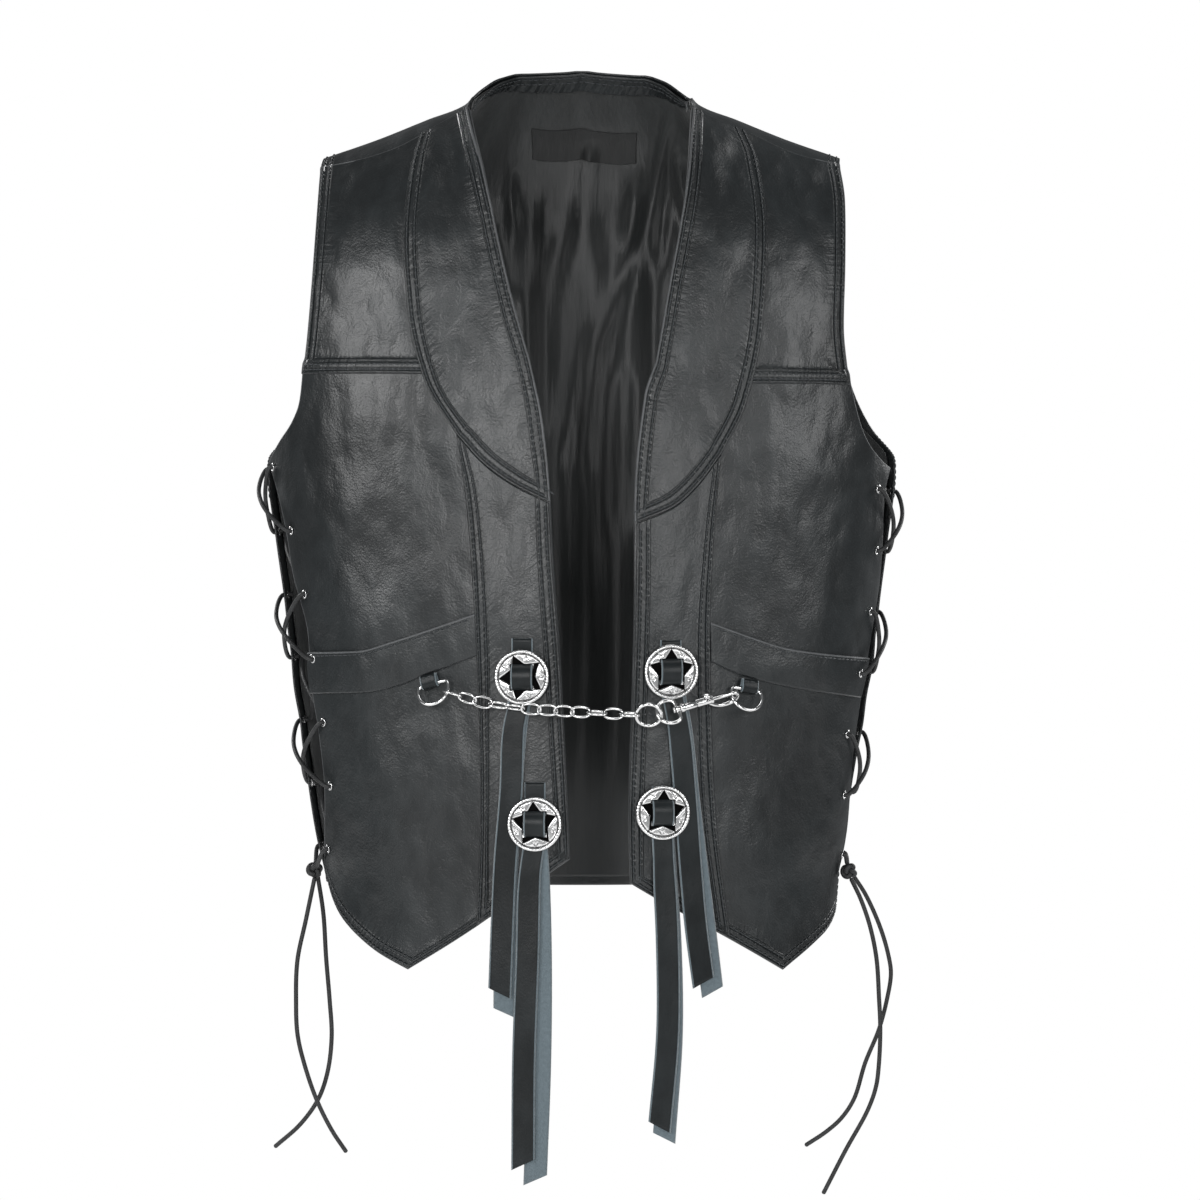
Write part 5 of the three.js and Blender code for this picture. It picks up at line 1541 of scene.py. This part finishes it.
def channel_parts(start, end, outer, inner, half_angle):
    """A slotted barrel along X: an arc of tube wall, open on the side away from the bow, whose
    section runs round the outer arc and back round the inner one."""
    angle = np.radians(np.linspace(-half_angle, half_angle, 33))
    section = np.concatenate([np.stack([np.cos(angle), np.sin(angle)], -1) * outer,
                              np.stack([np.cos(angle), np.sin(angle)], -1)[::-1] * inner])
    x = np.linspace(start, end, 12)
    grid = np.concatenate([np.broadcast_to(x[:, None, None], (12, 66, 1)),
                           np.broadcast_to(section, (12, 66, 2))], -1)
    faces = quads(12, 66, wrap=True)
    j = np.arange(32)
    cap = np.stack([j, j + 1, 64 - j, 65 - j], -1)
    faces += cap.tolist() + (cap[:, ::-1] + 11 * 66).tolist()
    return grid.reshape(-1, 3), faces


def link_centres():
    """Each chain link's frame, spaced along the chain's curve, and the inner length of a link."""
    start_angle = np.radians(-26)
    start = ring_point("left", start_angle)
    end = hook_frames()[3]
    through = np.array([start, (-68, -127, -407.4), (-41, -130.4, -411.4), (-8, -130.4, -413.6), end])
    curve = spline(through, 100)
    reach = lengths(curve)
    count = len(LINK_TURNS)
    inner = (reach[-1] + RING_WIRE + O_RING_WIRE + 2 * LINK_GAP + (count - 1) * LINK_GAP) / count
    places = inner / 2 - RING_WIRE - LINK_GAP + np.arange(count) * (inner - LINK_GAP)
    along = unit(read_at(places + 0.5, reach, curve) - read_at(places - 0.5, reach, curve))
    centres = read_at(places, reach, curve)
    frames = []
    for i in range(count):
        side = unit(np.array([0.0, 0, 1]) - along[i] * along[i][2])
        frame_here = basis(along[i], side, np.cross(along[i], side), centres[i])
        frames.append(frame_here @ turned("X", LINK_TURNS[i]))
    return frames, inner


def link_parts(half_length):
    """An oval link: a wire round a rounded oval outline in one plane."""
    angle = np.linspace(0, 2 * np.pi, 44, endpoint=False)
    soft = lambda v: np.sign(v) * np.abs(v) ** 0.85
    x = half_length * soft(np.cos(angle))
    y = LINK_HALF_WIDTH * soft(np.sin(angle))
    return tube_parts(np.stack([x, y, np.zeros(44)], -1), LINK_WIRE, 12, closed=True, first=(0, 0, 1))


class VEST_OT_closure(bpy.types.Operator):
    """Builds the ring tabs, D-rings, chain, swivel and snap hook"""
    bl_idname = "vest.closure"
    bl_label = "Chain closure"

    def execute(self, context):
        for side in ("left", "right"):
            bar, ring = tab_frames(side)
            self.tab(side, bar)
            part = ring_parts(d_outline(RING_RADIUS, RING_FLAT, 72), RING_WIRE)
            metal_piece(f"{side}_ring", moved(part, ring), [f"{side}_d_ring"])
        frames, inner = link_centres()
        for i, place in enumerate(frames, 1):
            part = link_parts(inner / 2 + LINK_WIRE)
            metal_piece(f"link_{i:02d}", moved(part, place), [f"chain_link_{i:02d}"])
        hook, eye, ring, _ = hook_frames()
        angle = np.linspace(0, 2 * np.pi, 72, endpoint=False)
        circle = np.stack([np.cos(angle), np.sin(angle), 0 * angle], -1) * O_RING_RADIUS
        metal_piece("round_ring", moved(ring_parts(circle, O_RING_WIRE + 0.2), ring), ["chain_o_ring"])
        self.swivel(eye)
        self.hook(hook)
        return {"FINISHED"}

    def tab(self, side, bar):
        """A folded leather tab round a D-ring's bar."""
        wrap = RING_WIRE + GAP + 0.6 + 0.15
        corner = wrap * 0.7071
        route = np.array([[0, 7, 0.3], [0, 4.2, 1.6], [0, 0, wrap], [0, -corner, corner], [0, -wrap, 0],
                          [0, -corner, -corner], [0, 0, -wrap], [0, 4, -2.2], [0, 7, -1.9]])[::-1]
        points = route @ bar[:3, :3].T + bar[:3, 3]
        rights = np.repeat(-bar[:3, 0][None], len(points), 0)
        strap_piece(f"{side}_tab", strap_parts(points, rights, 12.4, 1.15, 0), [f"{side}_ring_tab"])
        y = np.linspace(-5.2, 5.2, 5)
        line = np.column_stack([y, np.full(5, 5.6), np.full(5, 1.75)]) @ bar[:3, :3].T + bar[:3, 3]
        normals = np.repeat(bar[:3, 2][None], 5, 0)
        stitch_rows(f"{side}_tab_stitching", [(line, normals)])

    def swivel(self, eye):
        """The swivel: a D-shaped eye on a turned collar."""
        outline = d_outline(9.4, 5.8, 80)
        vertices, faces = ring_parts(outline, 1.4)
        vertices = vertices @ turned("Z", -90)[:3, :3].T + np.array([-2 - 5.8, 0, 0])
        collar = rod_parts([(-3.6, 0), (-3.6, 2.1), (-3.3, 2.6), (-2.2, 2.75), (-0.8, 2.6),
                            (-0.45, 2.1), (-0.45, 0)])
        metal_piece("swivel", moved(together([(vertices, faces), collar]), eye), ["swivel_eye"])

    def hook(self, hook):
        """The snap hook: stem, slotted barrel and bow, and the bolt with its knob."""
        stem = rod_parts([(-5.5, 0), (-5.5, 1.7), (-5.2, 2.1), (-4.3, 2.1), (-4, 1.7), (-3.9, 1.2),
                          (-0.5, 1.2), (-0.1, 2.7), (0.4, 3.3), (2.6, 3.3), (3.3, 2.9), (4, 2.8),
                          (11.9, 2.8), (12.2, 2.5), (12.4, 1.62), (12.5, 0)])
        nose = channel_parts(23, 24.6, 3.1, 1.62, 179)
        back = channel_parts(12, 23.4, 2.8, 1.62, 128)
        bow = np.array([(20, 1.4, 0), (22.5, 3, 0), (26, 5.8, 0), (31, 8, 0), (36, 8.5, 0), (40.5, 7.6, 0),
                        (43.4, 5.2, 0), (44, 2.4, 0), (42.6, 0.5, 0), (40.8, 0, 0), (39.6, 0, 0)], float)
        line = spline(bow, 12)
        share = np.linspace(0, 1, len(line))
        thick = 1.3 + 0.35 * np.sin(share * np.pi)
        body = together([stem, nose, back, tube_parts(line, thick, 18)])
        metal_piece("hook_body", moved(body, hook), ["snap_hook"])
        rod = rod_parts([(10.5, 0), (10.5, 1.1), (10.8, 1.3), (38.4, 1.3), (38.9, 1.1), (39, 0)])
        knob = lathe_parts([(0, 0), (1, 0), (1, 3.1), (2, 3.4), (2.6, 3.8), (2.6, 4.3), (2.35, 4.6),
                            (2.6, 4.9), (2.5, 5.4), (1.7, 5.8), (0, 5.9)], 24)
        turn = turned("X", 90)
        vertices = knob[0] @ turn[:3, :3].T + np.array([20.3, -0.5, 0])
        bolt = together([rod, (vertices, knob[1])])
        metal_piece("hook_bolt", moved(bolt, hook), ["snap_hook_bolt"], "bolt")


# ---- Side laces ----

def flank_turn(front, z):
    """The turn of a front's side edge at that height."""
    points = np.array(front["flank"], float)
    turn = locate(smooth(points[:, 1], points[:, 0], z), z)[..., 0]
    return np.sign(turn) * np.minimum(np.abs(turn), FLANK_LIMIT)


def inset(turn, z, distance):
    """The change of turn that moves a point that far round the form."""
    per_turn = np.linalg.norm(girth(turn + 0.01, z, 0) - girth(turn - 0.01, z, 0)) / 0.02
    return distance / per_turn


def eyelets(front):
    """The eyelet places of one side, as turn and height for the front's and the back's edge."""
    rows = []
    for row in range(EYELET_ROWS):
        z = front["eyelet_top"] - row * front["eyelet_pitch"]
        edge_turn = flank_turn(front, z)
        ahead = edge_turn - front["sign"] * inset(edge_turn, z, EYELET_INSET)
        behind = front["sign"] * (1 + abs(inset(front["sign"] * 1.03, z, EYELET_INSET)))
        rows.append({"front": (float(ahead), z), "back": (float(behind), z)})
    return rows


def lace_route(front, knot):
    """The lace up one side of the crossing, over the top and down the other."""
    rows = eyelets(front)

    def hole_at(row, first):
        return rows[row]["front" if (row % 2 == 0) == (first == "front") else "back"]

    def strand(first, lift):
        points = []
        for row in range(EYELET_ROWS):
            turn, z = hole_at(row, first)
            over_welt = WELT_DEPTH + LAYER_GAP if row == WELT_ROW and turn * front["sign"] < 1 else 0
            outs = [-LACE_LIFT, LEATHER / 2, LACE_LIFT + 0.4 + over_welt]
            outs = outs if row % 2 == 0 else outs[::-1]
            points += [girth(turn, z, out) for out in outs]
            if row < EYELET_ROWS - 1:
                next_turn, next_z = hole_at(row + 1, first)
                sign = 1 if row % 2 == 0 else -1
                points += [girth(turn + (next_turn - turn) * t, z + (next_z - z) * t, sign * lift)
                           for t in (0.33, 0.67)]
        toward = unit(points[-1] - knot)
        return points + [knot + toward * (KNOT_RADIUS + 2 * GAP)]

    one, other = strand("front", 5.2), strand("back", 9.4)
    (front_turn, z), (back_turn, _) = rows[0]["front"], rows[0]["back"]
    bar = [girth(front_turn + (back_turn - front_turn) * t, z, -LACE_LIFT - 2) for t in (0.33, 0.67)]
    return np.array([*one[::-1], *bar, *other])


def knot_parts(place, seed):
    """An overhand knot: a tube along a trefoil, two turns round and three bulges, in the
    knot's own ball."""
    t = np.linspace(0, 2 * np.pi, 96, endpoint=False)
    reach = 2.5 + 1.15 * np.cos(3 * t)
    line = np.stack([reach * np.cos(2 * t), reach * np.sin(2 * t), 1.9 * np.sin(3 * t)], -1)
    matrix = turned("X", 90 + 14 * seed) @ turned("Z", 40 * seed)
    line = line * 1.22 @ matrix[:3, :3].T + place
    return tube_parts(line, 2.0, 12, closed=True)


class VEST_OT_laces(bpy.types.Operator):
    """Builds the side laces, their knots and free ends, and the eyelets they pass through"""
    bl_idname = "vest.laces"
    bl_label = "Side laces"

    def execute(self, context):
        for side, front in FRONTS.items():
            knot = girth(*KNOTS[side], KNOT_LIFT)
            self.tails(side, knot)
            route = spline(lace_route(front, knot), 10)
            obj = new_object(f"{side}_lacing", *tube_parts(evenly(route, 1.6), LACE_WIDTH / 2, 12))
            finish_piece(obj, lace(), [f"{side}_side_lace"])
            obj = new_object(f"{side}_knot", *knot_parts(knot, 1 if side == "left" else 2))
            finish_piece(obj, lace(), [f"{side}_lace_knot"])
            self.eyelets(side, front)
        return {"FINISHED"}

    def tails(self, side, knot):
        """The two free ends of one lace."""
        for end in "ab":
            route = np.array(LACE_TAILS[f"{side}_{end}"], float)
            route[0] = knot + unit(route[0] - knot) * (KNOT_RADIUS + 2 * GAP)
            line = evenly(spline(route, 12), 2.0)
            obj = new_object(f"{side}_lace_end_{end}", *tube_parts(line, LACE_WIDTH / 2, 12))
            finish_piece(obj, lace(), [f"{side}_lace_tail_{end}"])
            path = evenly(spline(route, 12), 12.0) * MM

    def eyelets(self, side, front):
        """The metal eyelets of one side."""
        profile = np.array([(1.75, -1.9), (2.9, -1.9), (3.1, -1.7), (2.5, -1.5), (2.3, 0), (2.5, 0.1),
                            (3.1, 0.3), (3.05, 0.6), (2.5, 0.8), (1.95, 0.65), (1.75, 0.2)])
        angle = np.linspace(0, 2 * np.pi, 24, endpoint=False)
        grid = np.stack([profile[:, :1] * np.cos(angle), profile[:, :1] * np.sin(angle),
                         np.repeat(profile[:, 1:], 24, 1)], -1)
        part = (grid.reshape(-1, 3), wrapped_faces(len(profile), 24))
        centres, x_axes, z_axes = [], [], []
        for i, row in enumerate(eyelets(front)):
            for where in ("front", "back"):
                turn, z = row[where]
                lift = WELT_DEPTH + LAYER_GAP if i == WELT_ROW and where == "front" else 0
                low, high = girth(turn, z, 0), girth(turn, z, 1.0)
                normal = unit(high - low)
                centres.append(low + normal * (LEATHER + 0.1 + lift))
                x_axes.append(unit(np.cross([0, 0, 1.0], normal)))
                z_axes.append(normal)
        centres, x_axes, z_axes = np.array(centres), np.array(x_axes), np.array(z_axes)
        obj = new_object(f"{side}_eyelets", *copies(part, centres, x_axes, np.cross(z_axes, x_axes), z_axes))
        finish_piece(obj, chrome())


# ---- Stage ----

class VEST_OT_stage(bpy.types.Operator):
    """Builds the pale floor, the soft lights and the camera"""
    bl_idname = "vest.stage"
    bl_label = "Stage"

    def execute(self, context):
        settings = context.scene.vest
        self.camera(context)
        self.floor(settings)
        self.lights(settings)
        return {"FINISHED"}

    def camera(self, context):
        """The camera at the photo's angle."""
        data = bpy.data.cameras.new("camera")
        data.sensor_width, data.sensor_height, data.sensor_fit = 36, 36, "HORIZONTAL"
        data.lens = 36 * 3.0 / 0.876
        data.clip_end = 60
        camera = bpy.data.objects.new("camera", data)
        camera.location = (0.01314, -3.0, -0.3358)
        camera.rotation_euler = (np.pi / 2, 0, 0)
        context.collection.objects.link(camera)
        bpy.context.scene.camera = camera
        context.scene.view_settings.view_transform = "Standard"

    def floor(self, settings):
        """The pale floor."""
        angle = np.linspace(0, 2 * np.pi, 64, endpoint=False)
        radius = np.array([0.4, 1, 2, 3.4]) / MM
        grid = np.stack([radius[:, None] * np.cos(angle), radius[:, None] * np.sin(angle),
                         np.full((4, 64), -settings.floor_drop / MM)], -1)
        vertices = np.concatenate([grid.reshape(-1, 3), [[0, 0, -settings.floor_drop / MM]]])
        j = np.arange(64)
        faces = quads(4, 64, wrap=True) + np.stack([np.full(64, 256), j, (j + 1) % 64], -1).tolist()
        mesh = bpy.data.meshes.new("floor")
        mesh.from_pydata(vertices * MM, [], faces)
        mesh.update()
        floor = bpy.data.objects.new("floor", mesh)
        bpy.context.collection.objects.link(floor)
        tree = Tree("pale_floor")
        speckle = tree.noise(30)
        shade = tree.mix(speckle, settings.floor_colour, times(settings.floor_colour, 0.97))
        mesh.materials.append(tree.dress(Base_Color=shade, Roughness=0.9, Emission_Color=(1, 1, 1, 1),
                                         Emission_Strength=0.3))

    def lights(self, settings):
        """The studio's even light and its soft lamps."""
        world = bpy.data.worlds.new("studio")
        bpy.context.scene.world = world
        world.use_nodes = True
        nodes, links = world.node_tree.nodes, world.node_tree.links
        background = nodes["Background"]
        background.inputs["Color"].default_value = (0.95, 0.98, 1.0, 1)
        background.inputs["Strength"].default_value = settings.ambient
        backdrop = nodes.new("ShaderNodeBackground")
        backdrop.inputs["Color"].default_value = (1, 1, 1, 1)
        rays, chosen = nodes.new("ShaderNodeLightPath"), nodes.new("ShaderNodeMixShader")
        links.new(rays.outputs["Is Camera Ray"], chosen.inputs["Fac"])
        links.new(background.outputs["Background"], chosen.inputs[1])
        links.new(backdrop.outputs["Background"], chosen.inputs[2])
        links.new(chosen.outputs["Shader"], nodes["World Output"].inputs["Surface"])
        places = [
            ("key", (-2.3, -1.9, 0.5), 1.2, 0.7), ("fill", (2.3, -1.8, 0.4), 1.2, 0.46),
            ("front_left", (-0.75, -3.2, 0.05), 0.8, 0.56), ("front_right", (0.8, -3.2, 0.0), 0.8, 0.34),
            ("top", (0.1, -0.2, 2.2), 1.4, 0.25),
            ("rear_left", (-2.0, 2.0, 0.9), 1.2, 0.7), ("rear_right", (2.1, 1.9, 0.6), 1.2, 0.6),
        ]
        for name, place, size, share in places:
            data = bpy.data.lights.new(name, "AREA")
            data.shape, data.size, data.energy = "DISK", size, settings.key_power * share
            light = bpy.data.objects.new(name, data)
            light.location = place
            light.rotation_euler = (Vector((0, 0, -0.3)) - Vector(place)).to_track_quat("-Z", "Y").to_euler()
            bpy.context.collection.objects.link(light)


# ---- Settings, panel and run ----

class VestSettings(bpy.types.PropertyGroup):
    """Sizes and colours of the vest's finish"""
    leather_colour: FloatVectorProperty(
        name="Leather", description="Colour of the leather",
        subtype="COLOR", size=3, default=(0.0055, 0.0068, 0.0074), min=0, max=1)
    leather_light: FloatVectorProperty(
        name="Leather highs", description="Colour where the leather is worn",
        subtype="COLOR", size=3, default=(0.012, 0.0148, 0.016), min=0, max=1)
    edge_colour: FloatVectorProperty(
        name="Cut edges", description="Colour of the leather's cut edges",
        subtype="COLOR", size=3, default=(0.1, 0.105, 0.11), min=0, max=1)
    leather_roughness: FloatProperty(
        name="Leather roughness", description="Roughness of the leather",
        default=0.29, min=0, max=1, subtype="FACTOR")
    satin_colour: FloatVectorProperty(
        name="Satin", description="Colour of the lining",
        subtype="COLOR", size=3, default=(0.0125, 0.0138, 0.014), min=0, max=1)
    thread_colour: FloatVectorProperty(
        name="Thread", description="Colour of the stitching",
        subtype="COLOR", size=3, default=(0.022, 0.025, 0.027), min=0, max=1)
    lace_colour: FloatVectorProperty(
        name="Laces", description="Colour of the side laces",
        subtype="COLOR", size=3, default=(0.006, 0.0065, 0.007), min=0, max=1)
    chrome_colour: FloatVectorProperty(
        name="Chrome", description="Colour of the metal fittings",
        subtype="COLOR", size=3, default=(0.66, 0.66, 0.66), min=0, max=1)
    chrome_roughness: FloatProperty(
        name="Chrome roughness", description="Roughness of the metal",
        default=0.12, min=0, max=1, subtype="FACTOR")
    stitch_pitch: FloatProperty(
        name="Stitch pitch", description="Length from stitch to stitch",
        default=0.0044, min=0.002, max=0.01, unit="LENGTH")
    thread_radius: FloatProperty(
        name="Thread radius", description="Half the thread's thickness",
        default=0.00055, min=0.0002, max=0.001, unit="LENGTH")
    first_row: FloatProperty(
        name="First stitch row", description="From the edge to the first stitch row",
        default=0.0025, min=0.001, max=0.01, unit="LENGTH")
    second_row: FloatProperty(
        name="Second stitch row", description="From the edge to the second stitch row",
        default=0.008, min=0.002, max=0.02, unit="LENGTH")
    floor_colour: FloatVectorProperty(
        name="Floor", description="Colour of the floor",
        subtype="COLOR", size=3, default=(0.86, 0.86, 0.86), min=0, max=1)
    floor_drop: FloatProperty(
        name="Floor drop", description="Depth of the floor below the shoulders",
        default=1.35, min=0.78, max=2, unit="LENGTH")
    key_power: FloatProperty(
        name="Key power", description="Power of the key light in watts",
        default=60, min=0, max=1000)
    ambient: FloatProperty(
        name="Ambient", description="Strength of the studio's even light",
        default=0.17, min=0, max=5)


class VEST_PT_sidebar(bpy.types.Panel):
    """Lists the vest's pieces and finishes"""
    bl_idname = "VEST_PT_sidebar"
    bl_label = "Leather vest"
    bl_space_type = "VIEW_3D"
    bl_region_type = "UI"
    bl_category = "Vest"

    def draw(self, context):
        for operator in OPERATORS:
            self.layout.operator(operator.bl_idname)
        for name in VestSettings.__annotations__:
            self.layout.prop(context.scene.vest, name)


OPERATORS = (VEST_OT_stage, VEST_OT_laces, VEST_OT_back, VEST_OT_fronts, VEST_OT_conchos, VEST_OT_closure)
CLASSES = (VestSettings, *OPERATORS, VEST_PT_sidebar)


def register():
    """Registers the classes and the settings."""
    for one in CLASSES:
        bpy.utils.register_class(one)
    bpy.types.Scene.vest = PointerProperty(type=VestSettings)


def unregister():
    """Takes the classes and the settings away."""
    del bpy.types.Scene.vest
    for one in reversed(CLASSES):
        bpy.utils.unregister_class(one)


def main():
    """Builds the stage and every piece."""
    register()
    bpy.ops.vest.stage()
    bpy.ops.vest.laces()
    bpy.ops.vest.back()
    bpy.ops.vest.fronts()
    bpy.ops.vest.conchos()
    bpy.ops.vest.closure()


if __name__ == "__main__":
    main()
